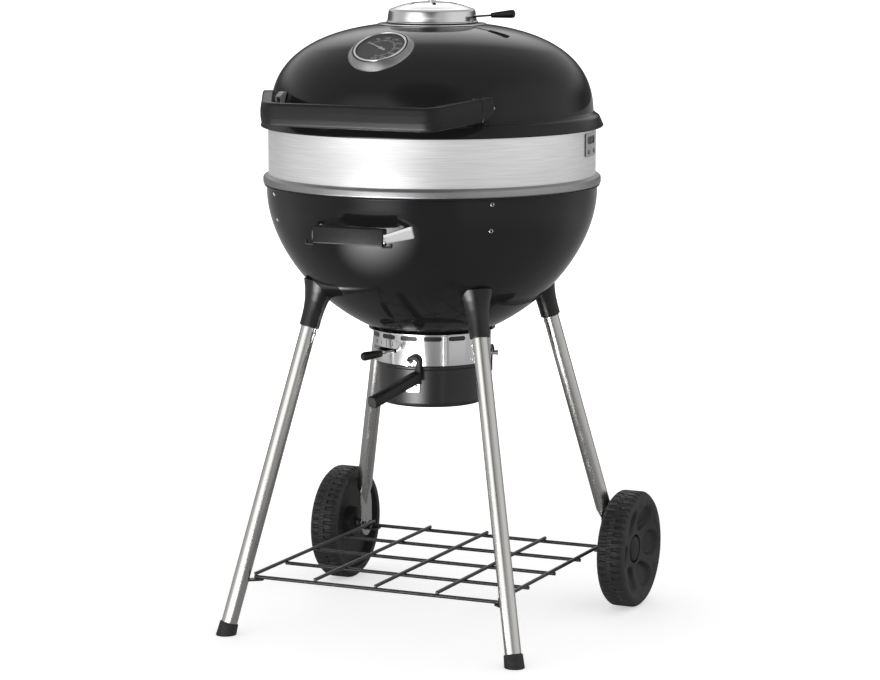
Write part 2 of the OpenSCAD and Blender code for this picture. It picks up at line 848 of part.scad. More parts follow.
// The flattened end of a rear leg, upright and pierced for the axle
module leg_plate() {
    translate([plate_x - plate_t / 2, axle_y, 0]) rotate([90, 0, 90]) linear_extrude(plate_t) difference() {
        union() {
            translate([0, plate_z0 + plate_w / 2]) circle(plate_w / 2);
            translate([-plate_w / 2, plate_z0 + plate_w / 2])
                square([plate_w, plate_z1 - plate_z0 - plate_w / 2]);
        }
        translate([0, wheel_r]) circle(axle_r + run_gap);
    }
}

// The rear leg's tube is pressed flat below its bend
module leg_rear() {
    inset = 0.3;
    color(steel) difference() {
        union() {
            leg_bar(rear_foot, rear_top, bend_z, leg_top_z);
            hull() {
                leg_bar(rear_foot, rear_top, bend_z + 1, bend_z + 3, inset, $fn = 32);
                translate([plate_x - plate_t / 2 + inset, axle_y - plate_w / 2 + inset, plate_z1 - 4])
                    cube([plate_t - 2 * inset, plate_w - 2 * inset, 4]);
            }
            leg_plate();
        }
        leg_bar(rear_foot, rear_top, bend_z + 10, leg_top_z + 10, leg_t);
    }
}

module leg_rear_right() {
    leg_rear();
}

module leg_rear_left() {
    mirror([1, 0, 0]) leg_rear();
}

// A socket's flared outside, from its collar up to the bowl
module leg_socket(foot, top) {
    v = (top - foot) / norm(top - foot);
    difference() {
        translate(along(foot, top, socket_z)) rotate([0, acos(v.z), atan2(v.y, v.x)])
            rotate_extrude()
                polygon([
                    [0, 0], [16.5, 0], [17.5, 1.5], [17.5, 16], [18.2, 30], [20.5, 46],
                    [24.5, 62], [30, 78], [0, 78]
                ]);
        bowl_solid(0.4);
        leg_bar(foot, top, socket_z - 20, leg_top_z + 1, -0.1);
    }
}

module leg_sockets() {
    color(plastic) both_sides() {
        leg_socket(front_foot, front_top);
        leg_socket(rear_foot, rear_top);
    }
}

module leg_screws() {
    z = socket_z - 12;
    color(steel) both_sides() for (leg = [[front_foot, front_top], [rear_foot, rear_top]])
        let (p = along(leg[0], leg[1], z))
            translate(p) rotate([0, -90, 0]) translate([0, 0, leg_d / 2 - 3]) cylinder(h = 5.5, r = 3.5);
}

module foot_cap() {
    v = (front_top - front_foot) / norm(front_top - front_foot);
    difference() {
        translate(front_foot) rotate([0, acos(v.z), atan2(v.y, v.x)])
            rotate([0, 0, 55]) translate([0, 0, -12]) cylinder(h = 35, r = leg_d / 2 + 2.6);
        leg_bar(front_foot, front_top, 8.6, 60, -0.1);
        translate([front_foot.x - 40, front_foot.y - 40, -40]) cube([80, 80, 40]);
    }
}

module foot_caps() {
    color(rubber) both_sides() foot_cap();
}

// ---- Rack ----

module bottom_rack() {
    reach = 3.4;
    upper = rack_z + rack_d - 0.5;
    color(wire) for (i = [0:rack_n - 1]) {
        x = -rack_x + i * 2 * rack_x / (rack_n - 1);
        y = rack_y0 + i * (rack_y1 - rack_y0) / (rack_n - 1);
        rod([-rack_x - reach, y, rack_z], [rack_x + reach, y, rack_z], rack_d / 2);
        rod([x, rack_y0 - reach, upper], [x, rack_y1 + reach, upper], rack_d / 2);
    }
}

// A flat strap with round ends between two points
module strap(from, to, r, t) {
    v = to - from;
    translate([from.x, from.y, from.z]) rotate([0, 0, atan2(v.y, v.x)]) linear_extrude(t) {
        circle(r);
        translate([norm(v), 0]) circle(r);
        translate([0, -r]) square([norm(v), 2 * r]);
    }
}

module rack_clips() {
    z = rack_z - rack_d / 2 - 3.3;
    leg = along(front_foot, front_top, z);
    color(plastic) both_sides() {
        difference() {
            strap([rack_x - 4, rack_y0 + 4, z], [leg.x - 5, leg.y + 5, z], 8, 3);
            leg_bar(front_foot, front_top, z - 30, z + 30, -0.3);
        }
        translate([rack_x - 12, axle_y - 6, z]) cube([plate_x - plate_t / 2 - 0.3 - rack_x + 12, 22, 3]);
    }
}

// ---- Wheels ----

module axle_bolts() {
    color(satin) both_sides() translate([0, axle_y, wheel_r]) rotate([0, 90, 0]) {
        translate([0, 0, plate_x - plate_t / 2 - 5.3]) cylinder(h = 5, r = 8.5, $fn = 6);
        translate([0, 0, plate_x - plate_t / 2 - 1]) cylinder(h = hub_x - plate_x + 7, r = axle_r);
        translate([0, 0, plate_x + plate_t / 2 + 0.3]) ring(axle_r - 1, 11, 14);
        translate([0, 0, hub_x + 0.5]) cylinder(h = 3.5, r = 10);
    }
}

// A wheel drawn round its axis: tyre, web, hub and six ribs in the outer face
module wheel() {
    in = wheel_x - wheel_w / 2;
    out = wheel_x + wheel_w / 2;
    color(rubber) translate([0, axle_y, wheel_r]) rotate([0, 90, 0]) difference() {
        union() {
            rotate_extrude($fn = 96)
                polygon([
                    [axle_r + run_gap, in + 2], [26, in + 2], [30, wheel_x - 8], [82, wheel_x - 8],
                    [86, in], [92, in], [100, in + 3], [wheel_r, in + 10],
                    [wheel_r, out - 10], [100, out - 3], [92, out], [86, out],
                    [80, wheel_x + 2], [30, wheel_x + 2], [26, hub_x], [axle_r + run_gap, hub_x]
                ]);
            for (a = [0:60:300]) rotate([0, 0, a]) translate([24, -7, wheel_x]) cube([64, 14, 20]);
        }
        translate([0, 0, hub_x]) cylinder(h = 60, r = 26);
    }
}

module wheel_right() {
    wheel();
}

module wheel_left() {
    mirror([1, 0, 0]) wheel();
}

// The cap over the nut at the end of the axle
module hub_cap() {
    color(plastic) translate([0, axle_y, wheel_r]) rotate([0, 90, 0]) rotate_extrude()
        polygon([
            [0, hub_x + 5], [14, hub_x + 5], [14, hub_x + 0.1], [23, hub_x + 0.1], [23, hub_x + 5],
            [20, hub_x + 8], [10, hub_x + 9.5], [0, hub_x + 9.5]
        ]);
}

module hub_cap_right() {
    hub_cap();
}

module hub_cap_left() {
    mirror([1, 0, 0]) hub_cap();
}

lid_shell();
lid_handle();
lid_handle_brackets();
lid_bolts();
top_vent_flange();
top_vent_base();
top_vent_cap();
top_vent_bolt();
top_damper_disc();
top_damper_lever();
top_damper_grip();
thermometer_housing();
thermometer_bezel();
thermometer_dial();
thermometer_needle();
thermometer_lens();
thermometer_probe();
thermometer_nut();
lid_hinge_leaf();
band_hinge_bracket();
hinge_pin();
steel_band();
trim_ring();
side_slot_plates();
bowl_shell();
grate_supports();
rivets();
charcoal_grate();
cooking_grate();
grate_flap_left();
grate_flap_right();
bowl_handle_strap();
bowl_handle_grip();
bowl_handle_screws();
ash_housing();
ash_scale_plate();
housing_studs();
sweep_damper();
sweep_lever();
sweep_grip();
ash_pan();
ash_pan_handle();
ash_pan_bracket();
ash_pan_screw();
ash_pan_hooks();
leg_front_left();
leg_front_right();
leg_rear_left();
leg_rear_right();
leg_sockets();
leg_screws();
foot_caps();
bottom_rack();
rack_clips();
axle_bolts();
wheel_left();
wheel_right();
hub_cap_left();
hub_cap_right();
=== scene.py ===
"""The looks of the kettle charcoal grill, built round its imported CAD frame."""
import json
import math

import bmesh
import bpy
from mathutils import Matrix, Vector


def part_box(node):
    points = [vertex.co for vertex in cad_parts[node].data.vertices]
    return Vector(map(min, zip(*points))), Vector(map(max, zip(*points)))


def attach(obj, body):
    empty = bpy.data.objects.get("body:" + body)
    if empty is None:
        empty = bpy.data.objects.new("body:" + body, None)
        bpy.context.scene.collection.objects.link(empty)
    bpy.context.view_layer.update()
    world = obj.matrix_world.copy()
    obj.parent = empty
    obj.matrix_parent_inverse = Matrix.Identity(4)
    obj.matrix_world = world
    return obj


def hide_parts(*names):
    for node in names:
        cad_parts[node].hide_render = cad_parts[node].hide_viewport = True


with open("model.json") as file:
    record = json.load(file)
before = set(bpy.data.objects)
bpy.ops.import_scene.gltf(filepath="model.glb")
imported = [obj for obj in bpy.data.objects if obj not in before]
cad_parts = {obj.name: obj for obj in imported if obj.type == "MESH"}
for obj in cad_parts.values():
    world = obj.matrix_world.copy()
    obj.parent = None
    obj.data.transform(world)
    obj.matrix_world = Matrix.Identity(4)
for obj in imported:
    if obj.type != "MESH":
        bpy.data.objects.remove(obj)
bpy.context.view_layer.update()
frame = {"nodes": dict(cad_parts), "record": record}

scene = bpy.context.scene
mm = 0.001
CREASE = math.radians(32)
BODIES = {node: body for body, nodes in frame["record"]["behaviour"]["bodies"].items() for node in nodes}
SLOTS = {part["node"]: part["material_slot"] for part in frame["record"]["subparts"]}


# ---- Shapes, drawn in millimetres ----

def bend(points, radius, closed=True, steps=4):
    """The same outline with its corners rounded. The radius is one number, or one for each corner."""
    count = len(points)
    radii = radius if isinstance(radius, (list, tuple)) else [radius] * count
    result = []
    for i, point in enumerate(points):
        corner = Vector(point)
        if not closed and i in (0, count - 1):
            result.append(corner)
            continue
        before, after = Vector(points[i - 1]) - corner, Vector(points[(i + 1) % count]) - corner
        half = (math.pi - before.angle(after)) / 2
        reach = min(radii[i] * math.tan(half), 0.48 * before.length, 0.48 * after.length)
        if reach < 0.01:
            result.append(corner)
            continue
        start, end = corner + before.normalized() * reach, corner + after.normalized() * reach
        for k in range(steps + 1):
            u = k / steps
            result.append(start * (1 - u) ** 2 + corner * (2 * u * (1 - u)) + end * u * u)
    return [tuple(p) for p in result]


def oval(r, h, n, low, high, steps):
    """Points (radius, height) on a superellipse, from low to high degrees above its widest line."""
    result = []
    for i in range(steps + 1):
        t = math.radians(low + (high - low) * i / steps)
        result.append((r * abs(math.cos(t)) ** (2 / n), h * math.sin(t) ** (2 / n)))
    return result


def circle(radius, count):
    turns = [2 * math.pi * i / count for i in range(count)]
    return [(radius * math.cos(t), radius * math.sin(t)) for t in turns]


def pill(width, height):
    """A slot's outline with round ends."""
    steps = 10
    r, half = height / 2, (width - height) / 2
    turns = [math.pi * i / steps for i in range(steps + 1)]
    right = [(half + r * math.sin(t), -r * math.cos(t)) for t in turns]
    return right + [(-x, -y) for x, y in right]


def rectangle(width, height, radius=0.0):
    w, h = width / 2, height / 2
    outline = [(-w, -h), (w, -h), (w, h), (-w, h)]
    return bend(outline, radius) if radius else outline


def grid(bm, rows, closed=False):
    """Quads between closed rows of points. Where closed, the last row also joins the first."""
    made = [[bm.verts.new(p) for p in row] for row in rows]
    for i in range(len(made) - (0 if closed else 1)):
        a, b = made[i], made[(i + 1) % len(made)]
        for j in range(len(a)):
            k = (j + 1) % len(a)
            bm.faces.new((a[j], a[k], b[k], b[j]))
    return made


def tidy(bm):
    """Merges points that meet, as at a pole, and turns every face outwards."""
    bmesh.ops.remove_doubles(bm, verts=bm.verts, dist=0.0005)
    bmesh.ops.dissolve_degenerate(bm, edges=bm.edges, dist=0.0002)
    bmesh.ops.recalc_face_normals(bm, faces=bm.faces)
    return bm


def capped(bm, rows):
    """Rows of points as one closed solid, with its first and last row filled in."""
    made = grid(bm, rows)
    bm.faces.new(made[0])
    bm.faces.new(made[-1])
    return tidy(bm)


def lathe(outline, segments, change=None):
    """An outline of (radius, height) turned round Z. change(j, r, z, turn) may move each point."""
    bm = bmesh.new()
    rows = []
    for i in range(segments):
        turn = 2 * math.pi * i / segments
        row = []
        for j, (r, z) in enumerate(outline):
            if change:
                r, z = change(j, r, z, turn)
            row.append((r * math.cos(turn), r * math.sin(turn), z))
        rows.append(row)
    grid(bm, rows, closed=True)
    return tidy(bm)


def extrude(outline, low, high, edge=0.0):
    """A flat outline made thick along Z, with its top and bottom edges eased by edge."""
    bm = bmesh.new()
    layers = [(low, 0), (high, 0)]
    if edge:
        layers = [(low, edge), (low + edge, 0), (high - edge, 0), (high, edge)]
    rows = [[(x, y, z) for x, y in inset(outline, amount)] for z, amount in layers]
    return capped(bm, rows)


def inset(outline, amount):
    """A closed outline moved inwards."""
    if not amount:
        return list(outline)
    count = len(outline)
    area = sum(outline[i - 1][0] * outline[i][1] - outline[i][0] * outline[i - 1][1] for i in range(count))
    side = 1 if area > 0 else -1
    result = []
    for i, (x, y) in enumerate(outline):
        a, b = Vector(outline[i - 1]), Vector(outline[(i + 1) % count])
        along = (b - a).normalized()
        result.append((x - along.y * amount * side, y + along.x * amount * side))
    return result


def sweep(path, sections, up=(0, 0, 1)):
    """Closed sections (across, up) set along a path of points. One section may serve the whole path."""
    bm = bmesh.new()
    points = [Vector(p) for p in path]
    if not isinstance(sections[0][0], (list, tuple)):
        sections = [sections] * len(points)
    rows = []
    for i, point in enumerate(points):
        ahead = points[min(i + 1, len(points) - 1)] - point
        behind = point - points[max(i - 1, 0)]
        along = (ahead.normalized() + behind.normalized()).normalized()
        side = along.cross(Vector(up)).normalized()
        top = side.cross(along)
        widen = 1 / max(0.5, along.dot(ahead.normalized() if ahead.length else along))
        rows.append([point + side * (x * widen) + top * y for x, y in sections[i]])
    return capped(bm, rows)


def rod(start, end, radius, ease):
    """A level round bar with eased ends."""
    start, end = Vector(start), Vector(end)
    length = (end - start).length
    ahead = (end - start).normalized()
    stations = [(0, radius - ease), (ease, radius), (length - ease, radius), (length, radius - ease)]
    return sweep([start + ahead * s for s, _ in stations], [circle(r, 20) for _, r in stations])


def moved(bm, matrix):
    bmesh.ops.transform(bm, matrix=matrix, verts=bm.verts)
    return bm


def merged(*parts):
    """One mesh made of several, each of which stays a closed solid."""
    whole = bmesh.new()
    for part in parts:
        spare = bpy.data.meshes.new("spare")
        part.to_mesh(spare)
        part.free()
        whole.from_mesh(spare)
        bpy.data.meshes.remove(spare)
    return whole


def at_azimuth(az, r=0.0, z=0.0):
    """Local +X points outwards in the direction az, counted from the front towards +X."""
    return Matrix.Rotation(math.radians(az - 90), 4, "Z") @ Matrix.Translation((r, 0, z))


def outwards(az, r, z):
    """Local +Z points outwards at a place on a wall, and local +Y upwards."""
    return (at_azimuth(az, r, z) @ Matrix.Rotation(math.radians(90), 4, "Z")
            @ Matrix.Rotation(math.radians(90), 4, "X"))


def flipped(bm):
    """The mirror image across X."""
    bmesh.ops.transform(bm, matrix=Matrix.Scale(-1, 4, (1, 0, 0)), verts=bm.verts)
    bmesh.ops.reverse_faces(bm, faces=bm.faces)
    return bm


def both_sides(make):
    """A mesh and its mirror image across X."""
    return merged(make(), flipped(make()))


def new_object(name, bm, material):
    """An object from a mesh in millimetres, smooth but for its sharp edges."""
    bmesh.ops.scale(bm, vec=(mm, mm, mm), verts=bm.verts)
    for face in bm.faces:
        face.smooth = True
    for edge in bm.edges:
        if len(edge.link_faces) == 2 and edge.calc_face_angle(0) > CREASE:
            edge.smooth = False
    mesh = bpy.data.meshes.new(name)
    bm.to_mesh(mesh)
    bm.free()
    mesh.materials.append(material)
    piece = bpy.data.objects.new(name, mesh)
    scene.collection.objects.link(piece)
    return piece


def carve(bm, *cutters):
    """A mesh with other meshes cut out of it."""
    piece = new_object("blank", bm, None)
    for i, cutter in enumerate(cutters):
        tool = new_object(f"cutter_{i}", cutter, None)
        modifier = piece.modifiers.new("cut", "BOOLEAN")
        modifier.object, modifier.solver, modifier.operation = tool, "EXACT", "DIFFERENCE"
    bpy.context.view_layer.update()
    mesh = bpy.data.meshes.new_from_object(piece.evaluated_get(bpy.context.evaluated_depsgraph_get()))
    for old in [piece] + [m.object for m in piece.modifiers]:
        bpy.data.objects.remove(old)
    result = bmesh.new()
    result.from_mesh(mesh)
    bpy.data.meshes.remove(mesh)
    bmesh.ops.scale(result, vec=(1 / mm, 1 / mm, 1 / mm), verts=result.verts)
    return result


def stand_in(node, bm, part="", finish=None, place=None, keep=False):
    """Shows a finer mesh for a CAD node, or beside it where keep is set. place says where a mesh drawn
    in its own space goes."""
    slot = finish or SLOTS[node]
    piece = new_object("fine_" + node + part, bm, FINISHES[slot])
    if place:
        piece.matrix_world = Matrix.Translation(place.to_translation() * mm) @ place.to_3x3().to_4x4()
    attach(piece, BODIES[node])
    if not keep:
        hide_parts(node)
    return piece


# ---- Driving sizes in millimetres, from the frame where it has them ----

def corners(node):
    """A CAD node's lowest and highest corner."""
    low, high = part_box(node)
    return low / mm, high / mm


band_low, band_high = corners("steel_band")
band_r, band_top = band_high.x, band_high.z
rim_z = corners("bowl_shell")[1].z
wall = 1.5
bowl_z, bowl_r, bowl_h, bowl_n = rim_z - 13, band_r + 2.8, 265, 1.79
lid_bottom = corners("lid_shell")[0].z
lid_z, lid_r, lid_h, lid_n = band_top + 13.6, 282, 166, 2.52
skirt_z = lid_z + 13.4
vent_z = lid_z + lid_h
cap_z = corners("top_vent_cap")[0].z
housing_z0, housing_z1 = (corner.z for corner in corners("ash_housing"))
housing_r, housing_slots = 103.8, 15
pan_z0, pan_z1 = (corner.z for corner in corners("ash_pan"))
pan_rim = 3
pan_r = corners("ash_pan")[1].x - pan_rim
wheel_low, wheel_high = corners("wheel_right")
wheel_r, wheel_w = wheel_high.z / 2, wheel_high.x - wheel_low.x
axle_y = (wheel_low.y + wheel_high.y) / 2
wheel_x = (wheel_low.x + wheel_high.x) / 2
stud_az, stud_z, hook_r = 2.6, 476, 105.5
front_foot, front_top = Vector((273.9, -266.5, 0)), Vector((157, -154, 560))
rear_foot, rear_top = Vector((279, 256.1, 0)), Vector((159.2, 143.4, 560))
leg_r = 14
leg_top, socket_z = 580, 536
handle_tip, handle_corner = (207, -218, 931), (150.6, -333.5, 918)
strap_x, strap_root_x, strap_y, strap_z = 68, 88.5, -331.75, 719


def dome_radius(z):
    """The lid's outer radius at a height."""
    return lid_r * (1 - ((z - lid_z) / lid_h) ** lid_n) ** (1 / lid_n)


def bowl_radius(z):
    """The bowl's outer radius at a height."""
    return bowl_r * (1 - (max(bowl_z - z, 0) / bowl_h) ** bowl_n) ** (1 / bowl_n)


def along(foot, top, z):
    """The point at a height on a leg's axis."""
    return foot + (top - foot) * ((z - foot.z) / (top.z - foot.z))


def mirror_x(point):
    return Vector((-point[0], point[1], point[2]))


def pointing(direction, at):
    """Local +Z along a direction, from a point."""
    return Matrix.Translation(at) @ Vector(direction).to_track_quat("Z", "X").to_matrix().to_4x4()


# ---- Lid ----

def lid_shell():
    """The dome, open at its pole under the vent, with a rolled lip."""
    low = math.degrees(math.asin(((skirt_z - lid_z) / lid_h) ** (lid_n / 2)))
    high = math.degrees(math.acos((58 / lid_r) ** (lid_n / 2)))
    outer = [(r, lid_z + z) for r, z in oval(lid_r, lid_h, lid_n, low, high, 60)]
    inner = [(r, lid_z + z) for r, z in oval(lid_r - wall, lid_h - wall, lid_n, low, high, 60)]
    lip_r = lid_r + 17.2
    lip = [
        outer[0], (lid_r + 4, skirt_z - 4.5), (lid_r + 9.8, skirt_z - 8), (lip_r - 3.4, band_top + 10),
        (lip_r, lid_bottom + 2), (lip_r - 1, lid_bottom), (lid_r - 3, lid_bottom),
        (lid_r - 3, lid_bottom + wall), (lip_r - 2, lid_bottom + wall), (lip_r - 5.2, band_top + 10),
        (lid_r + 8, skirt_z - 9.7), (lid_r + 3, skirt_z - 6.5), inner[0],
    ]
    lip = bend(lip, [0, 7, 7, 9, 1.2, 0.7, 0.5, 0.5, 0.7, 9, 6, 6, 0], closed=False, steps=5)
    return lathe(list(reversed(outer)) + lip[1:-1] + inner, 288)


def lid_handle():
    """A D-shaped grip whose ends turn back to the lid, with a seam before each end block."""
    deep, tall, seam = 11, 19.5, 26
    path = bend([mirror_x(handle_tip), mirror_x(handle_corner), handle_corner, handle_tip], 30,
                closed=False, steps=8)
    lengths = [0]
    for a, b in zip(path, path[1:]):
        lengths.append(lengths[-1] + (Vector(b) - Vector(a)).length)
    total = lengths[-1]
    marks = [0, 0.4, 1.2, 2.4, 4, 6.5, 10, 15, 21, seam - 1.1, seam - 0.6, seam + 0.6, seam + 1.1]
    stations = sorted(set(lengths[1:-1] + marks + [total - m for m in marks] + [total / 2]))
    outline = bend([
        (-deep, -13), (-8, -tall), (6, -tall), (9.4, -16), (deep, -6), (deep, 6), (9.6, 15.5), (7, tall),
        (-8, tall), (-deep, 13),
    ], [3, 3, 3, 6, 14, 14, 6, 2, 3, 3])

    def eased(s, radius):
        """How far a round end draws in, s from its tip."""
        return radius - math.sqrt(radius ** 2 - (radius - s) ** 2) if s < radius else 0

    points, sections = [], []
    for d in stations:
        i = max(k for k in range(len(lengths) - 1) if lengths[k] <= d + 1e-6)
        share = (d - lengths[i]) / (lengths[i + 1] - lengths[i])
        points.append(Vector(path[i]).lerp(Vector(path[i + 1]), min(share, 1)))
        s = max(min(d, total - d), 0)
        pinch = 0.9 if abs(s - seam) < 0.8 else 0
        top, low = tall - pinch - eased(s, 4), -tall + pinch + eased(s, 21)
        half = deep - pinch - eased(s, 4)
        sections.append([(x / deep * half, low + (y / tall + 1) / 2 * (top - low)) for x, y in outline])
    return sweep(points, sections)


def lid_handle_brackets():
    """A short arm from the dome to each end of the handle."""
    az = math.degrees(math.atan2(handle_tip[0], -handle_tip[1]))
    heights = [912, 921, 930, 939, 947]
    foot = [(dome_radius(z) + 0.2, z) for z in heights]
    outline = foot + [(dome_radius(944) + 7, 946), (289.5, 938), (289.5, 912)]
    place = at_azimuth(az) @ Matrix.Rotation(math.radians(90), 4, "X")
    return both_sides(lambda: moved(extrude(bend(outline, 1.2), 4, 26, 0.4), place))


# ---- Top vent ----

def top_vent_flange():
    """A thin disc that follows the dome."""
    return lathe(bend([
        (60, vent_z - 1.1), (78, vent_z - 2.2), (94, vent_z - 3.8), (94, vent_z - 2.4), (78, vent_z - 0.9),
        (60, vent_z),
    ], [0.3, 10, 0.5, 0.5, 10, 0.3]), 224)


def top_vent_edge():
    """The flange's bright rolled edge."""
    edge = [(92.6, vent_z - 3.6), (94.4, vent_z - 3.9), (94.4, vent_z - 2.1), (92.6, vent_z - 2)]
    return lathe(bend(edge, 0.5), 224)


def top_vent_cap():
    """A pressed cap with a rolled lip, six air slots in its crown and a window for the lever."""
    crown = [(75.4, 17.6), (72.6, 20.4), (67.4, 22), (59.9, 25), (49.5, 28), (37, 31), (20, 32.5),
             (3.3, 33)]
    outer = [(80, -2.6), (80, -1.2), (78, -0.2), (77, 8)] + crown
    inner = [(r - 1.1, z - 1.1) for r, z in reversed(crown)] + [(75.8, 8), (76.8, -2.6)]
    radii = [0.4, 0.9, 2, 9, 3, 2, 3] + [12] * 4 + [0.2, 0.2] + [12] * 6 + [1, 8, 0.4]
    slot_r, window_r = 34, 95
    cuts = [moved(extrude(pill(26, 6), 15, 40), Matrix.Rotation(math.radians(a), 4, "Z")
                  @ Matrix.Translation((slot_r, 0, 0))) for a in range(0, 360, 60)]
    turns = [math.radians(a) for a in range(7, 76, 4)]
    window = [(0, 0)] + [(window_r * math.cos(t), window_r * math.sin(t)) for t in turns]
    cuts.append(extrude(window, 4.6, 9.8))
    cap = carve(lathe(bend(outer + inner, radii, steps=3), 224), merged(*cuts))
    return moved(cap, Matrix.Translation((0, 0, cap_z)))


# ---- Thermometer, drawn on its own plane with +Z out of its face ----

dial_r, dial_y = 42, 207
dial_z = lid_z + lid_h * (1 - (dial_y / lid_r) ** lid_n) ** (1 / lid_n)
dial_place = Matrix.Translation((0, -dial_y, dial_z)) @ Matrix.Rotation(math.radians(29), 4, "X")


def dome_below(x, y):
    """How far the dome's surface lies below the thermometer's plane."""
    high, low = 10.0, -30.0
    for _ in range(24):
        z = (low + high) / 2
        p = dial_place @ Vector((x, y, z))
        outside = (math.hypot(p.x, p.y) / lid_r) ** lid_n + ((p.z - lid_z) / lid_h) ** lid_n > 1
        low, high = (low, z) if outside else (z, high)
    return low


def thermometer_housing():
    """A cone whose foot follows the dome."""
    outline = [
        (43.4, 0), (57.2, 0), (57, 0.9), (56, 2.2), (49.8, 3.5), (48.6, 4.1), (47.6, 4.1), (46.8, 3.5),
        (46.6, 1.2), (43.4, 1.2),
    ]

    def follow(j, r, z, turn):
        """Sets the four points of the foot down on the dome."""
        ground = dome_below(r * math.cos(turn), r * math.sin(turn))
        return (r, ground + z - 0.1) if j < 4 else (r, z)

    return lathe(outline, 128, follow)


def thermometer_bezel():
    return lathe(bend([(42, 3.8), (45.9, 3.8), (45.6, 5), (44.6, 5.8), (43.2, 5.8), (42.2, 4.8)], 0.9), 128)


def thermometer_gap():
    """A dark ring painted as the shade in the groove round the bezel."""
    return lathe(bend([(45.7, 3.4), (48, 3.4), (48, 4.35), (45.7, 4.35)], 0.2), 128)


def lettering(word, size, place):
    """Raised figures as a mesh, centred on a place."""
    curve = bpy.data.curves.new("figures", "FONT")
    curve.body, curve.size, curve.extrude = word, size, 0.06
    curve.align_x, curve.align_y, curve.resolution_u = "CENTER", "CENTER", 3
    blank = bpy.data.objects.new("figures", curve)
    scene.collection.objects.link(blank)
    bpy.context.view_layer.update()
    mesh = bpy.data.meshes.new_from_object(blank.evaluated_get(bpy.context.evaluated_depsgraph_get()))
    bpy.data.objects.remove(blank)
    bm = bmesh.new()
    bm.from_mesh(mesh)
    bpy.data.meshes.remove(mesh)
    return moved(tidy(bm), place)


print_z = 1.35


def dial_mark(turn, r0, r1, width):
    """A printed tick between two radii; turn is counted clockwise from the top."""
    place = Matrix.Rotation(math.radians(-turn), 4, "Z") @ Matrix.Translation((0, (r0 + r1) / 2, print_z))
    return moved(extrude(rectangle(width, r1 - r0), 0, 0.12), place)


def dial_print():
    """Figures every thirty degrees, ticks between them and a thin inner arc."""
    first, last, big, small = -60, 180, 30, 6
    figure_r, tick_r = 31.5, 25
    parts = []
    for i, turn in enumerate(range(first, last + 1, big)):
        a = math.radians(turn)
        spot = (figure_r * math.sin(a), figure_r * math.cos(a), print_z)
        parts.append(lettering(str(50 + 40 * i), 7.6, Matrix.Translation(spot)))
    for turn in range(first, last + 1, small):
        tall, wide = (4, 0.9) if (turn - first) % big == 0 else (2.2, 0.5)
        parts.append(dial_mark(turn, tick_r - tall, tick_r, wide))
    parts += [dial_mark(turn, tick_r + 0.2, tick_r + 0.7, 2.8) for turn in range(first, last + 1, small)]
    return merged(*parts)


def thermometer_dial():
    return lathe(bend([(1.6, 0.5), (dial_r, 0.5), (dial_r, 1.3), (1.6, 1.3)], 0.2), 96)


def thermometer_lens():
    """A glass slightly domed to its middle."""
    r, low, high, steps = 43, 2.7, 3.7, 8
    top = [(r * i / steps, high - 0.6 * (i / steps) ** 2) for i in range(steps, -1, -1)]
    return lathe([(0, low), (r, low)] + top, 96)


# ---- Band and rim ----

def steel_band():
    """A ring of sheet with its top edge folded inwards."""
    inner, fold = band_r - 1.2, band_r - 5
    return lathe(bend([
        (inner, band_low.z), (band_r, band_low.z), (band_r, band_top), (fold, band_top),
        (fold, band_top - 3), (inner, band_top - 3),
    ], [0.3, 0.3, 1, 0.5, 0.5, 0.5]), 288)


def side_slot_recess():
    """Dark sheets painted as the shade in each side plate's slot, and a painted shadow line along the
    plate's front edge.
    """
    half, end_r, thin, steps = 23, 6.5, 0.15, 12

    def one_side():
        path, sections = [], []
        for i in range(2 * steps + 1):
            x = half * (i / steps - 1)
            past = max(abs(x) - half + end_r, 0)
            h = max(math.sqrt(max(end_r ** 2 - past ** 2, 0)), 0.3)
            place = at_azimuth(96.9 + math.degrees(x / band_r), band_r + 0.2, band_top - 18)
            path.append(place.to_translation())
            sections.append([(-thin, -h), (thin, -h), (thin, h), (-thin, h)])
        # a painted shadow line along the front edge of each plate
        edge = [at_azimuth(90.6, band_r + 0.5, band_top - z).to_translation() for z in (7, 44)]
        return merged(sweep(path, sections), sweep(edge, rectangle(2.2, 1.0), up=(0, 1, 0)))

    return both_sides(one_side)


def trim_ring():
    """The bead between band and bowl."""
    r, z = band_r, rim_z
    return lathe(bend([
        (r + 0.2, z + 1), (r + 7.5, z + 1), (r + 9, z + 3), (r + 9, z + 12), (r + 7, z + 15),
        (r + 2, z + 17), (r + 0.2, z + 17),
    ], [0.3, 2, 2, 3, 4, 3, 0.3]), 288)


# ---- Bowl ----

def arc_sector(az, half, r0, r1, z0, z1):
    """A block between two radii, half degrees to each side of a direction."""
    angles = [math.radians(az - 90 - half + 2 * half * i / 8) for i in range(9)]
    outline = [(r1 * math.cos(a), r1 * math.sin(a)) for a in angles]
    outline += [(r0 * math.cos(a), r0 * math.sin(a)) for a in reversed(angles)]
    return extrude(outline, z0, z1)


def bowl_shell():
    """The bowl with its rim and three air openings in its bottom."""
    pole = 89.2
    outer = [(r, bowl_z - z) for r, z in oval(bowl_r, bowl_h, bowl_n, 0, pole, 72)]
    inner = [(r, bowl_z - z) for r, z in oval(bowl_r - wall, bowl_h - wall, bowl_n, 0, pole, 72)]
    lip_r = bowl_r + 4.5
    lip = bend([(bowl_r - wall, rim_z), (lip_r, rim_z), (lip_r, rim_z - 2), (bowl_r + 0.5, rim_z - 3)],
               [0.4, 0.8, 0.8, 2], closed=False)
    shell = lathe(lip + outer + list(reversed(inner)), 256)
    bottom = bowl_z - bowl_h
    openings = [arc_sector(az, 17, 26, 88, bottom - 2, bottom + 40) for az in (0, 120, 240)]
    return carve(shell, merged(*openings))


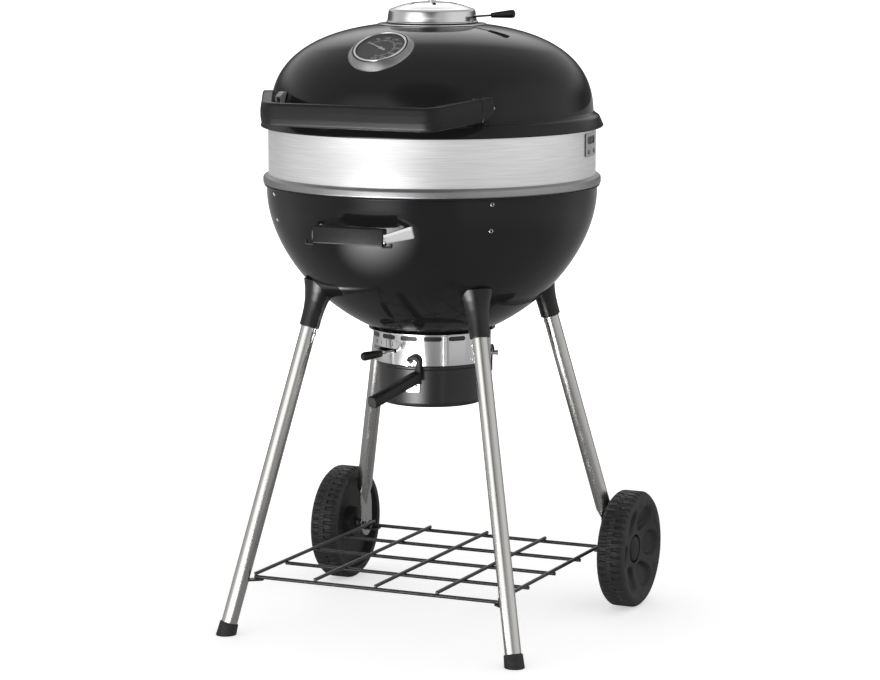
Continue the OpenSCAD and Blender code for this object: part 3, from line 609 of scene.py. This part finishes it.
def rivet_places():
    """Where each rivet's head sits: azimuth, radius and height."""
    bowl = [(az, bowl_radius(z) + 0.1, z) for az in (45, 135, 225, 315) for z in (rim_z - 10, rim_z - 55)]
    plates = [(az, band_r + 1.7, band_top - 38) for az in (94, 100.6, -94, -100.6)]
    hinge = [(az, band_r + 2.6, z) for az in (176.4, 183.6) for z in (band_top - 52, band_top - 28)]
    return bowl + plates + hinge


def on_rivets(outline):
    return merged(*[moved(lathe(outline, 24), outwards(*place)) for place in rivet_places()])


def rivets():
    """Hollow rivets, each filled by a dark core painted as the shade in its hole."""
    head = [(1.7, -6), (2.2, -6), (2.2, 0), (3.8, 0), (3.7, 1), (3, 1.7), (2.2, 1.6), (1.7, 0.7)]
    return on_rivets(bend(head, 0.3, steps=2))


# a dark core painted as the shade in each rivet's hole
def rivet_cores():
    return on_rivets([(0, -5.5), (1.68, -5.5), (1.68, 0.5), (0, 0.6)])


def bowl_handle_strap():
    """A flat strap, taller where it is fixed to the bowl."""
    thin = 1.25
    root = (strap_root_x, -math.sqrt(bowl_radius(strap_z) ** 2 - strap_root_x ** 2) + 1.5)
    ends = [(-root[0], root[1]), (-strap_x + 1.2, strap_y), (strap_x - 1.2, strap_y), root]
    path = bend(ends, 4, closed=False, steps=5)
    sections = []
    for x, y in path:
        t = (y - strap_y) / (root[1] - strap_y)
        low, high = -7.5 + 2.5 * t, 7.5 + 9.5 * t
        sections.append([(-thin, low), (thin, low), (thin, high), (-thin, high)])
    spots = [(x, y, strap_z) for x, y in path]
    return sweep(spots, [bend(s, 0.5, steps=2) for s in sections])


def bowl_handle_grip():
    """A moulded block round the strap, with a small hook under each end."""
    half, tall, deep = 65, 28.7, 18.6
    stations = [(0, 2.2), (0.5, 0.9), (2, 0), (2 * half - 2, 0), (2 * half - 0.5, 0.9), (2 * half, 2.2)]
    middle = Vector((-half, strap_y + 3.5, strap_z + 2))
    block = sweep([middle + Vector((s, 0, 0)) for s, _ in stations],
                  [rectangle(deep - 2 * e, tall - 2 * e, 2.4) for _, e in stations])
    y, low = strap_y - 1.2, strap_z - 13.7
    path = bend([(half - 2, y, low), (half + 13.2, y, low), (half + 13.2, y, low + 6.4)], 2.5, closed=False)
    return merged(block, both_sides(lambda: sweep(path, rectangle(3.6, 6, 0.8), up=(0, 1, 0))))


# ---- Ash housing and pan ----

def ash_housing():
    """A pierced ring with a flange, a raised seam, a stop tab and the lever's slot."""
    r, top = housing_r, housing_z1
    slot_z, lever_low, lever_high = 517.4, 490.5, 497.5
    ring = lathe(bend([
        (r - 1, housing_z0), (r, housing_z0), (r, top - 1.2), (r + 8, top - 1.2), (r + 8, top),
        (r - 1, top),
    ], [0.3, 0.3, 1.6, 0.5, 0.5, 0.3]), 225)
    holes = [moved(extrude(pill(32, 8), -8, 8), outwards(1.5 + i * 360 / housing_slots, r, slot_z))
             for i in range(housing_slots)]
    holes.append(arc_sector(-32, 20, r - 6, r + 4, lever_low, lever_high))
    seam = moved(extrude(circle(4, 20), housing_z0 + 0.5, 522),
                 at_azimuth(37, r - 0.4) @ Matrix.Diagonal((0.62, 1, 1, 1)))
    tab = moved(extrude(rectangle(4.4, 6, 0.8), stud_z, stud_z + 5, 0.5), at_azimuth(67, r + 1.6))
    return merged(carve(ring, merged(*holes)), seam, tab)


def housing_soot():
    """A dark band painted as the shade inside the housing, behind the slots."""
    r = housing_r - 1.4
    return lathe([(r - 0.4, 509), (r, 509), (r, 525), (r - 0.4, 525)], 96)


def ash_scale_plate():
    """A thin curved label with a rounded lower corner."""
    first, last, low, high, corner_r = -53, -12, 499, 512.2, 9
    inner, outer = housing_r + 0.1, housing_r + 0.9
    steps = 28
    rows = []
    for i in range(steps + 1):
        az = first + (last - first) * i / steps
        reach = math.radians(last - az) * housing_r
        lift = corner_r - math.sqrt(corner_r ** 2 - (corner_r - reach) ** 2) if reach < corner_r else 0
        a = math.radians(az - 90)
        edge = [(inner, low + lift), (outer, low + lift), (outer, high), (inner, high)]
        rows.append([(r * math.cos(a), r * math.sin(a), z) for r, z in edge])
    return capped(bmesh.new(), rows)


def scale_figures():
    """Damper settings on the scale plate, with a long mark between the second and the third."""
    marks = [("0", -42), ("1", -33), ("2", -16.5)]
    r, z = housing_r + 1, 505.6
    figures = [lettering(word, 9.5, outwards(az, r, z)) for word, az in marks]
    tick = moved(extrude(rectangle(0.8, 12.4), -0.05, 0.12), outwards(-25, r, z))
    return merged(*figures, tick)


def on_studs(outline, segments):
    return merged(*[moved(lathe(outline, segments), outwards(stud_az + turn, housing_r + 0.1, stud_z))
                    for turn in (0, 120, 240)])


def housing_studs():
    """A bush on each stud; stud_cores fills them."""
    bush = [(2.4, 0), (4, 0), (4, 11.4), (5, 11.4), (5, 13.4), (2.4, 13.4)]
    return on_studs(bend(bush, 0.5, steps=3), 32)


def stud_cores():
    return on_studs([(0, 0), (2.38, 0), (2.38, 12.6), (0, 12.9)], 24)


def ash_pan():
    """A deep pressed pan with a rolled rim."""
    r, z0, z1 = pan_r, pan_z0, pan_z1
    outline = [
        (0, z0), (r - 8, z0), (r - 2.6, z0 + 2.4), (r - 0.6, z0 + 8), (r, z1 - 6.5), (r + 2.9, z1 - 4.6),
        (r + pan_rim, z1), (r + 1.4, z1), (r + 0.8, z1 - 2.5), (r - 1.4, z1 - 5.5), (r - 2, z0 + 8.4),
        (r - 4, z0 + 3.8), (r - 8.4, z0 + 1.3), (0, z0 + 1.3),
    ]
    return lathe(bend(outline, [0, 9, 5, 3, 2, 1.4, 0.9, 0.6, 1, 2, 5, 5, 6, 0]), 192)


def ash_pan_handle():
    """A hook shaped like a question mark, whose stem runs into a long arm."""
    bend_r, stem_y, low = 9.75, 7.9, -36
    turns = [math.radians(158 - 158 * i / 14) for i in range(15)]
    arc = [(bend_r * math.cos(t), bend_r * math.sin(t)) for t in turns]
    drop = [(bend_r - 0.6, -6), (stem_y + 0.2, -14), (stem_y, -24), (stem_y, low)]
    hook_place = at_azimuth(stud_az + 5, hook_r + 4.1, stud_z)
    path = [hook_place @ Vector((0, y, z)) for y, z in arc + drop]
    widths = [5.4, 7.2] + [8.5] * 12 + [8.8, 9.6, 11, 12, 12]
    radial = hook_place.to_3x3() @ Vector((1, 0, 0))
    hook = sweep(path, [rectangle(w, 8.2, 1.8) for w in widths], up=radial)
    root, end = Vector((20.5, -104, 452.5)), Vector((-9, -226, 423))
    tall = 20.4
    arm = [(0, 14, tall - 3), (0.02, 16.6, tall), (0.12, 18.4, tall), (0.4, 19.4, tall), (0.8, 19, tall),
           (0.985, 19, tall), (1, 17, 18)]
    return merged(hook, sweep([root.lerp(end, share) for share, _, _ in arm],
                              [rectangle(width, height, 6.5) for _, width, height in arm]))


def ash_pan_bracket():
    """A small plate on the pan, with a lug to the handle."""
    outline = bend([(-15, -9.5), (11, -9.5), (12, 9), (-6, 9.5)], [2, 3, 4, 3])
    plate = moved(extrude(outline, 0.2, 2, 0.3), outwards(stud_az + 2.4, pan_r, pan_z0 + 36.5))
    lug_place = at_azimuth(stud_az + 1, pan_r + 5.2, pan_z0 + 44)
    lug = moved(extrude(rectangle(10, 12, 1.5), 0, 2, 0.3), lug_place)
    return merged(plate, lug)


def ash_pan_screw():
    """A round head with a hollow in its middle."""
    head = bend([(0, 1.8), (5.4, 1.8), (5.2, 3.2), (4, 4.2), (2.4, 4.4), (1.9, 3), (0, 2.9)], 0.6, steps=3)
    return moved(lathe(head, 32), outwards(stud_az + 4, pan_r, pan_z0 + 37))


# ---- Legs ----

def leg_tube(foot, top, z0, z1):
    """A tube in its own space, and where it goes."""
    start, end = along(foot, top, z0), along(foot, top, z1)
    length = (end - start).length
    outline = [(12.5, 0), (13.6, 0), (leg_r, 0.5), (leg_r, length - 0.5), (13.6, length), (12.5, length)]
    return lathe(outline, 64), pointing(end - start, start)


def rear_leg():
    """A tube pressed flat at its foot, where the round part ends in a V."""
    plate_x, plate_half, plate_low, plate_high = 243, 22, 82, 150
    bend_z = 178
    steps = 30

    def section(s, half_width):
        """Share s of the way from round to flat."""
        swell = leg_r * (1 - s)
        thin = 2 * s ** 0.5
        result = []
        for side in (1, -1):
            for i in range(steps):
                y = -side * half_width * math.cos(math.pi * i / steps)
                bump = math.sqrt(max(swell ** 2 - y ** 2, 0)) if swell > 0.05 else 0
                edge = thin * math.sqrt(max(1 - (y / half_width) ** 12, 0))
                if 0 < s < 1:
                    edge -= min(0.8 * edge, 1.3) * math.exp(-((abs(y) - swell) / 1.6) ** 2)
                result.append((side * max(bump, edge), y))
        return result

    path = [along(rear_foot, rear_top, z) for z in (leg_top, 400, bend_z + 8, bend_z)]
    sections = [section(0, leg_r)] * 4
    knee = along(rear_foot, rear_top, bend_z)
    for i in range(1, 13):
        s = i / 12
        path.append(knee.lerp(Vector((plate_x, axle_y, plate_high - 12)), s))
        sections.append(section(s, leg_r + (plate_half - leg_r) * min(1, 1.5 * s) ** 0.8))
    round_z = plate_low + plate_half
    for z in [118, round_z] + [round_z - plate_half * math.sin(math.radians(a)) for a in range(10, 90, 10)]:
        half = math.sqrt(max(plate_half ** 2 - max(round_z - z, 0) ** 2, 1))
        path.append(Vector((plate_x, axle_y, z)))
        sections.append(section(1, half))
    return sweep(path, sections, up=(0, 1, 0))


def leg_sockets():
    """Flared sockets between the legs and the bowl."""
    flare = bend([
        (14.2, 0), (16.6, 0), (17.6, 1.4), (17.6, 16), (18.2, 30), (20.4, 46), (24.4, 62), (31, 80),
        (14.2, 80),
    ], [0.3, 0.8, 0.8, 20, 30, 40, 40, 0, 0])

    def pair(foot, top):
        place = pointing(top - foot, along(foot, top, socket_z))
        return both_sides(lambda: moved(lathe(flare, 64), place))

    wall_line = [(r + 0.3, bowl_z - z) for r, z in oval(bowl_r, bowl_h, bowl_n, 0, 90, 72)]
    bowl = lathe([(0, rim_z)] + wall_line, 256)
    return carve(merged(pair(front_foot, front_top), pair(rear_foot, rear_top)), bowl)


def foot_caps():
    """Flared cups whose undersides lie flat on the floor."""
    axis = (front_top - front_foot).normalized()
    place = pointing(axis, front_foot)
    outline = bend([
        (0, 0), (17.4, 0), (17.2, 4), (16.4, 21), (15.4, 22.6), (14.1, 22.6), (14.1, 9), (0, 9),
    ], [0, 1, 8, 1.5, 0.8, 0.3, 0.3, 0])
    across = place.to_3x3()

    def stand(j, r, z, turn):
        """Lays the underside level."""
        tilt = -(across @ Vector((r * math.cos(turn), r * math.sin(turn), 0))).z / axis.z
        return r, z + tilt * max(0, 1 - z / 8)

    return both_sides(lambda: moved(lathe(outline, 48, stand), place))


def leg_screws():
    """A round head on each leg's inner side."""
    head = [(0, -2), (3.6, -2), (3.6, 1.2), (2.8, 2.2), (1.4, 2.4), (1.1, 1.2), (0, 1.1)]
    head = bend(head, 0.5, steps=3)
    parts = []
    for foot, top in ((front_foot, front_top), (rear_foot, rear_top)):
        at = along(foot, top, socket_z - 12) - Vector((leg_r - 0.2, 0, 0))
        parts.append(both_sides(lambda: moved(lathe(head, 24), pointing((-1, 0, 0), at))))
    return merged(*parts)


# ---- Rack and wheels ----

def bottom_rack():
    """Five welded rods each way, with the lengthwise ones on top."""
    low, high = corners("bottom_rack")
    wire, ease, count = 3.25, 1.2, 5
    z = low.z + wire
    edge = 3.4
    rods = []
    for i in range(count):
        x = low.x + edge + i * (high.x - low.x - 2 * edge) / (count - 1)
        y = low.y + edge + i * (high.y - low.y - 2 * edge) / (count - 1)
        rods.append(rod((low.x, y, z), (high.x, y, z), wire, ease))
        rods.append(rod((x, low.y, z + 6), (x, high.y, z + 6), wire, ease))
    return merged(*rods)


def wheel():
    """A treaded tyre with six soft pockets in its outer face. +Z is the wheel's outer side."""
    half = wheel_w / 2
    blocks, groove_deep, centre_deep, shoulder_r, centre_half = 48, 2.8, 1.6, 102.5, 5
    pockets, pocket_mid, pocket_deep, dish_deep, lip_deep = 6, 59, 9, 12, 2.4
    tread = [-15.4, -14.8, -5.2, -4.6, 4.6, 5.2, 14.8, 15.4]
    pocket_r = [86 - 60 * i / 26 for i in range(27)]
    outline = [
        (6.1, -half + 2), (25, -half + 2), (27, -half + 3), (30, -8.5), (32, -8), (80, -8), (83, -9),
        (86, -half + 1), (88, -half), (93, -half), (99, -half + 2.2), (103, -half + 6),
        (104.6, -half + 8.6),
    ]
    outline += [(wheel_r, z) for z in tread]
    outline += [(104.6, half - 8.6), (103, half - 6), (99, half - 2.2), (94, half - 0.2), (90, half)]
    face = len(outline)
    outline += [(r, half - 0.3) for r in pocket_r]
    back = len(outline)
    outline += [(25.6, 6), (25, 4), (6.1, 4)]

    def relief(j, r, z, turn):
        """Grooves in the tread, and the dish, the pockets and the scalloped rim of the face."""
        if r > shoulder_r:
            share = (turn * blocks / (2 * math.pi) + (0.5 if z > 0 else 0)) % 1
            if abs(z) > centre_half:
                return (r - groove_deep, z) if share < 0.36 else (r, z)
            return (r - centre_deep, z) if 0.6 < share < 0.76 else (r, z)
        if face <= j < back:
            between = (turn * pockets / (2 * math.pi)) % 1 - 0.5
            reach = between / pockets * 2 * math.pi * r
            off_middle = math.sqrt(((r - pocket_mid) / 25) ** 2 + (reach / (r * 0.40)) ** 2)
            sink = min(max((1.06 - off_middle) / 0.35, 0), 1)
            dish = min(max((85 - r) / 45, 0), 1)
            lip = min(max((88 - 10 * abs(2 * between) ** 3 - r) / 3, 0), 1)
            z -= dish_deep * dish * dish * (3 - 2 * dish)
            return r, z - pocket_deep * sink * sink * (3 - 2 * sink) - lip_deep * lip
        return r, z

    return lathe(outline, 360, relief)


def wheel_place(side):
    """Sets a wheel's +Z outwards on one side."""
    return (Matrix.Translation((side * wheel_x, axle_y, wheel_r))
            @ Matrix.Rotation(math.radians(90 * side), 4, "Y"))


def hub_cap():
    """A domed cap over the axle bolt."""
    outline = bend([
        (0, 9), (14, 9), (14, 4.1), (22.8, 4.1), (22.8, 9.6), (20.6, 12), (10, 13.4), (0, 13.5),
    ], [0, 0.5, 0.5, 0.5, 1.5, 3, 14, 0])
    return lathe(outline, 72)


# ---- Camera, light and floor ----

class Nodes:
    """A node tree, and short ways to add to it."""

    def __init__(self, tree):
        self.tree = tree

    def add(self, kind, **values):
        """A shader node. Values go to its sockets where it has them, and to its properties where not."""
        node = self.tree.nodes.new("ShaderNode" + kind)
        for name, value in values.items():
            if name.replace("_", " ") in node.inputs:
                node.inputs[name.replace("_", " ")].default_value = value
            else:
                setattr(node, name, value)
        return node

    def link(self, output, socket):
        self.tree.links.new(output, socket)

    def ramp(self, value, low, high, start, end):
        """A smooth step from low at start to high at end."""
        ranger = self.add("MapRange", interpolation_type="SMOOTHSTEP",
                          From_Min=start, From_Max=end, To_Min=low, To_Max=high)
        self.link(value, ranger.inputs["Value"])
        return ranger.outputs[0]

    def math(self, operation, *values):
        node = self.add("Math", operation=operation)
        for socket, value in zip(node.inputs, values):
            if isinstance(value, (int, float)):
                socket.default_value = value
            else:
                self.link(value, socket)
        return node.outputs[0]

    def mix(self, factor, a, b):
        """A number between a and b."""
        return self.math("ADD", a, self.math("MULTIPLY", factor, self.math("SUBTRACT", b, a)))

    def length(self, vector):
        node = self.add("VectorMath", operation="LENGTH")
        self.link(vector, node.inputs[0])
        return node.outputs["Value"]

    def dot(self, vector, direction):
        node = self.add("VectorMath", operation="DOT_PRODUCT")
        self.link(vector, node.inputs[0])
        node.inputs[1].default_value = direction
        return node.outputs["Value"]


def make_camera():
    """The camera stands in front of the grill, to its right, a little above its lid."""
    eye, target = Vector((2.263, -4.929, 1.330)), Vector((0.0126, 0.0058, 0.5006))
    data = bpy.data.cameras.new("camera")
    data.lens, data.sensor_width = 127.3, 36
    camera = bpy.data.objects.new("camera", data)
    camera.location = eye
    camera.rotation_euler = (target - eye).to_track_quat("-Z", "Y").to_euler()
    scene.collection.objects.link(camera)
    scene.camera = camera


def compass(azimuth, elevation):
    """A direction. Azimuth is counted in degrees from the front towards +X."""
    a, e = math.radians(azimuth), math.radians(elevation)
    return Vector((math.sin(a) * math.cos(e), -math.cos(a) * math.cos(e), math.sin(e)))


def make_world():
    """A pale studio with soft glows at the front left, the right, the left and high behind. Mirrors see a
    dark wall far behind the grill and a dark opening above the camera. The backdrop itself is white."""
    world = bpy.data.worlds.new("studio")
    world.use_nodes = True
    n = Nodes(world.node_tree)
    direction = n.add("TexCoord").outputs["Generated"]
    split = n.add("SeparateXYZ")
    n.link(direction, split.inputs[0])
    height = split.outputs["Z"]

    def towards(azimuth, elevation, low, high, wide, narrow):
        """A smooth step from low, wide degrees off a direction, to high, narrow degrees off it."""
        return n.ramp(n.dot(direction, compass(azimuth, elevation)), low, high,
                      math.cos(math.radians(wide)), math.cos(math.radians(narrow)))

    light = n.ramp(height, 0.72, 0.6, 0.1, 0.75)
    for azimuth, elevation, glow, wide, narrow in [
        (-16, -4, 1.6, 44, 8), (100, 4, 0.32, 50, 15), (-115, 0, 0.2, 45, 10), (204, 32, 1.0, 21, 4),
    ]:
        light = n.math("ADD", light, towards(azimuth, elevation, 0, glow, wide, narrow))
    wall = n.math("MULTIPLY", towards(204.66, 0, 0, 1, 72, 41), n.ramp(height, 1, 0, 0.08, 0.3))
    wall_light, backdrop_light = 0.12, 1.5
    kept = n.math("MULTIPLY", n.mix(wall, 1, wall_light), towards(18, 36, 1, 0.2, 28, 12))
    rays = n.add("LightPath").outputs
    light = n.math("MULTIPLY", light, n.mix(rays["Is Glossy Ray"], 1, kept))
    background = n.tree.nodes["Background"]
    background.inputs["Color"].default_value = (1, 1, 1, 1)
    n.link(n.mix(rays["Is Camera Ray"], light, backdrop_light), background.inputs["Strength"])
    scene.world = world


def make_floor():
    """A seamless floor that glows, so that it is white in the picture and its shadows stay faint. What
    mirrors in the enamel is a darker floor with one bright pool in front of the grill and a soft glow
    beyond it. Distances are in metres from the grill's axis."""
    half = 45
    square = [(-half, -half, 0), (half, -half, 0), (half, half, 0), (-half, half, 0)]
    mesh = bpy.data.meshes.new("floor")
    mesh.from_pydata(square, [], [(0, 1, 2, 3)])
    floor = bpy.data.objects.new("floor", mesh)
    scene.collection.objects.link(floor)
    material = bpy.data.materials.new("floor_paper")
    material.use_nodes = True
    n = Nodes(material.node_tree)
    place = n.add("TexCoord").outputs["Object"]
    radius = n.length(place)
    behind = (-0.417, 0.909, 0)
    turned = n.math("DIVIDE", n.dot(place, behind), radius)

    def glow(radiance, location, turn, scale):
        """Radiance in the middle of an oval on the floor, which falls to none at its edge."""
        spot = n.add("Mapping", vector_type="TEXTURE", Location=location, Rotation=(0, 0, turn),
                     Scale=scale)
        n.link(place, spot.inputs["Vector"])
        return n.ramp(n.length(spot.outputs[0]), radiance, 0, 0, 1)

    seen = n.ramp(radius, 0.5, 1.1, 0.7, 3)
    pool = glow(30, (-0.29, -1.35, 0), 0.2, (0.68, 1.05, 1))
    far_glow = glow(3.4, (-0.9, -5, 0), -0.15, (2.1, 4.6, 1))
    near = n.ramp(radius, 0.08, 0.5, 0.9, 2.6)
    mirrored = n.math("ADD", n.math("MULTIPLY", near, n.ramp(turned, 0.85, 0.15, 0.3, 0.75)), far_glow)
    mirrored = n.math("ADD", n.math("MULTIPLY", mirrored, n.ramp(turned, 0.12, 1, -0.992, -0.92)), pool)
    rays = n.add("LightPath").outputs
    diffuse_light = 0.35
    unseen = n.mix(rays["Is Glossy Ray"], diffuse_light, mirrored)
    shader = n.tree.nodes["Principled BSDF"]
    n.link(n.mix(rays["Is Camera Ray"], 0.45, 0.8), shader.inputs["Base Color"])
    shader.inputs["Roughness"].default_value = 0.9
    shader.inputs["Specular IOR Level"].default_value = 0.0
    shader.inputs["Emission Color"].default_value = (1, 1, 1, 1)
    n.link(n.mix(rays["Is Camera Ray"], unseen, seen), shader.inputs["Emission Strength"])
    mesh.materials.append(material)


# ---- Finishes ----

def finish(name, colour, shade, rough, relief=None, radial=False, **sockets):
    """A Principled material with up to three noises, each of them what it spans, its scale, its detail and
    its stretch along Z: shades, in shares of the colour, roughnesses, and a relief's depth in metres.
    Keyword values go to the shader's own sockets."""
    material = bpy.data.materials.new(name)
    material.use_nodes = True
    n = Nodes(material.node_tree)
    shader = n.tree.nodes["Principled BSDF"]
    for socket, value in sockets.items():
        shader.inputs[socket].default_value = value

    def noise(scale, detail=2, stretch=1):
        """Noise in the piece's own space, with scale features to a metre."""
        mapping = n.add("Mapping", Scale=(1, 1, stretch))
        texture = n.add("TexNoise", Scale=scale, Detail=detail)
        n.link(n.add("TexCoord").outputs["Object"], mapping.inputs["Vector"])
        n.link(mapping.outputs[0], texture.inputs["Vector"])
        return texture.outputs[0]

    if shade:
        shares, *grain = shade
        mix = n.add("Mix", data_type="RGBA")
        ends = [socket for socket in mix.inputs if socket.type == "RGBA"]
        for end, share in zip(ends, shares):
            end.default_value = (*[c * share for c in colour], 1)
        n.link(noise(*grain), mix.inputs["Factor"])
        mixed = [socket for socket in mix.outputs if socket.type == "RGBA"][0]
        n.link(mixed, shader.inputs["Base Color"])
    (low, high), *grain = rough
    spread = n.add("MapRange", From_Min=0.3, From_Max=0.7, To_Min=low, To_Max=high)
    n.link(noise(*grain), spread.inputs["Value"])
    n.link(spread.outputs[0], shader.inputs["Roughness"])
    if relief:
        depth, *grain = relief
        bump = n.add("Bump", Distance=depth, Strength=1.0)
        n.link(noise(*grain), bump.inputs["Height"])
        n.link(bump.outputs[0], shader.inputs["Normal"])
    if radial:
        n.link(n.add("Tangent", direction_type="RADIAL", axis="Z").outputs[0], shader.inputs["Tangent"])
    return material


def moulded(name, level, rough, grain, depth, index=1.46):
    """Black plastic, rubber or powder coat with a fine grain."""
    return finish(name, (level, level, level * 1.04), ((0.85, 1.2), 25, 4), (rough, 140, 3),
                  (depth, grain, 3), IOR=index)


FINISHES = {
    "enamel": finish("gloss_enamel", (0.0155, 0.0155, 0.016), ((0.8, 1.25), 9), ((0.055, 0.09), 45, 3),
                     (0.00003, 160), IOR=1.26),
    "brushed_band": finish("steel_brushed_round", (0.82, 0.82, 0.82), ((0.72, 1.16), 14, 6, 60),
                           ((0.3, 0.42), 20, 4, 90), (0.00003, 30, 4, 80), radial=True,
                           Metallic=0.85, Anisotropic=0.75),
    "stainless": finish("stainless_satin", (0.6, 0.6, 0.605), ((0.95, 1.04), 25, 3), ((0.15, 0.2), 60, 3),
                        Metallic=1.0),
    "polished_steel": finish("stainless_polished", (0.8, 0.8, 0.81), ((0.92, 1.06), 30),
                             ((0.06, 0.13), 200, 3), Metallic=1.0),
    "satin_trim": finish("satin_grey_metal", (0.31, 0.31, 0.315), ((0.9, 1.1), 60, 3),
                         ((0.32, 0.42), 300, 3), (0.00002, 2500), Metallic=1.0),
    "leg_steel": finish("steel_brushed_lengthwise", (0.5, 0.49, 0.475), ((0.86, 1.1), 260, 5, 0.02),
                        ((0.17, 0.28), 400, 3, 0.02), (0.00002, 700, 3, 0.02), Metallic=1.0,
                        Anisotropic=0.3),
    "handle_plastic": moulded("textured_nylon", 0.009, (0.36, 0.48), 1500, 0.00012, 1.33),
    "socket_plastic": moulded("satin_nylon", 0.009, (0.3, 0.38), 1200, 0.00003, 1.4),
    "pan_coating": moulded("satin_powder_coat", 0.015, (0.28, 0.33), 1100, 0.000004),
    "rack_coating": moulded("wire_powder_coat", 0.020, (0.3, 0.42), 900, 0.00006),
    "cooking_bars": finish("seasoned_bars", (0.045, 0.042, 0.04), ((0.55, 1.5), 35, 5),
                           ((0.38, 0.6), 90, 4), (0.0002, 700, 4), Metallic=0.55),
    "coal_bars": finish("heat_stained_bars", (0.26, 0.235, 0.21), ((0.35, 1.3), 14, 5),
                        ((0.4, 0.6), 80, 4), (0.0001, 600, 3), Metallic=0.9),
    "damper_steel": finish("aluminised_steel", (0.46, 0.46, 0.455), ((0.75, 1.15), 55, 5),
                           ((0.36, 0.5), 100, 4), (0.00004, 400, 3), Metallic=1.0),
    "wheel_rubber": moulded("moulded_wheel", 0.017, (0.48, 0.62), 900, 0.0001),
    "foot_rubber": moulded("foot_rubber", 0.018, (0.55, 0.7), 800, 0.0001),
    "dial_face": finish("dial_black", (0.011, 0.011, 0.012), ((0.85, 1.2), 300, 3), ((0.45, 0.55), 500),
                        IOR=1.2),
    "needle_paint": finish("needle_white", (0.34, 0.34, 0.33), ((0.94, 1.03), 300, 3),
                           ((0.35, 0.45), 500)),
    "dial_glass": finish("dial_glass", None, None, ((0.02, 0.04), 60), Alpha=0.05, IOR=1.1),
}

# CAD nodes that are shown darker than their slot's finish
DARKER = {"rivets": "satin_trim", "lid_handle_brackets": "satin_trim", "lid_bolts": "satin_trim",
          "top_damper_lever": "pan_coating"}


def finish_cad_nodes():
    """Gives each carried-over CAD node its slot's finish, smooth but for its sharp edges."""
    for node, slot in SLOTS.items():
        piece = frame["nodes"][node]
        piece.data.materials.clear()
        piece.data.materials.append(FINISHES[DARKER.get(node, slot)])
        for face in piece.data.polygons:
            face.use_smooth = True
        weld = piece.modifiers.new("weld", "WELD")
        weld.merge_threshold = 0.00001
        split = piece.modifiers.new("crease", "EDGE_SPLIT")
        split.split_angle = CREASE


def build_pieces():
    """Each detailed piece in place of its CAD node."""
    # the steel flange is given the black plastic finish as a painted shade and painted reflection: the
    # cap's shadow and its dark underside mirrored round the vent
    stand_in("top_vent_flange", top_vent_flange(), finish="handle_plastic")
    # painted shade in the side plates' slots and a painted shadow along their front edges
    stand_in("side_slot_plates", side_slot_recess(), "_painted_shade", "pan_coating", keep=True)
    for make in [
        lid_shell, lid_handle, lid_handle_brackets, top_vent_cap, steel_band, trim_ring, bowl_shell,
        rivets, bowl_handle_strap, bowl_handle_grip, ash_housing, ash_scale_plate, housing_studs, ash_pan,
        ash_pan_handle, ash_pan_bracket, ash_pan_screw, leg_sockets, leg_screws, foot_caps, bottom_rack,
    ]:
        stand_in(make.__name__, make(), finish=DARKER.get(make.__name__))
    for make in [thermometer_housing, thermometer_bezel, thermometer_dial, thermometer_lens]:
        stand_in(make.__name__, make(), place=dial_place)
    # dark cores painted as the shade in the rivets' holes
    stand_in("rivets", rivet_cores(), "_cores", "handle_plastic")
    stand_in("top_vent_flange", top_vent_edge(), "_edge", "polished_steel")
    stand_in("housing_studs", stud_cores(), "_cores", "satin_trim")
    stand_in("thermometer_dial", dial_print(), "_print", "needle_paint", place=dial_place)
    # a dark ring painted as the shade in the groove round the bezel
    stand_in("thermometer_housing", thermometer_gap(), "_groove_shade", "dial_face", place=dial_place)
    # a dark band painted as the shade inside the housing, seen through the slots
    stand_in("ash_housing", housing_soot(), "_slot_shade", "pan_coating")
    stand_in("ash_scale_plate", scale_figures(), "_figures", "handle_plastic")
    for side, name in ((1, "right"), (-1, "left")):
        foot, top = (Vector((side * p.x, p.y, p.z)) for p in (front_foot, front_top))
        tube, place = leg_tube(foot, top, 9, leg_top)
        stand_in("leg_front_" + name, tube, place=place)
        stand_in("wheel_" + name, wheel(), place=wheel_place(side))
        stand_in("hub_cap_" + name, hub_cap(), place=wheel_place(side))
    stand_in("leg_rear_right", rear_leg())
    stand_in("leg_rear_left", flipped(rear_leg()))


make_camera()
make_world()
make_floor()
finish_cad_nodes()
build_pieces()

scene.view_settings.view_transform = "Standard"
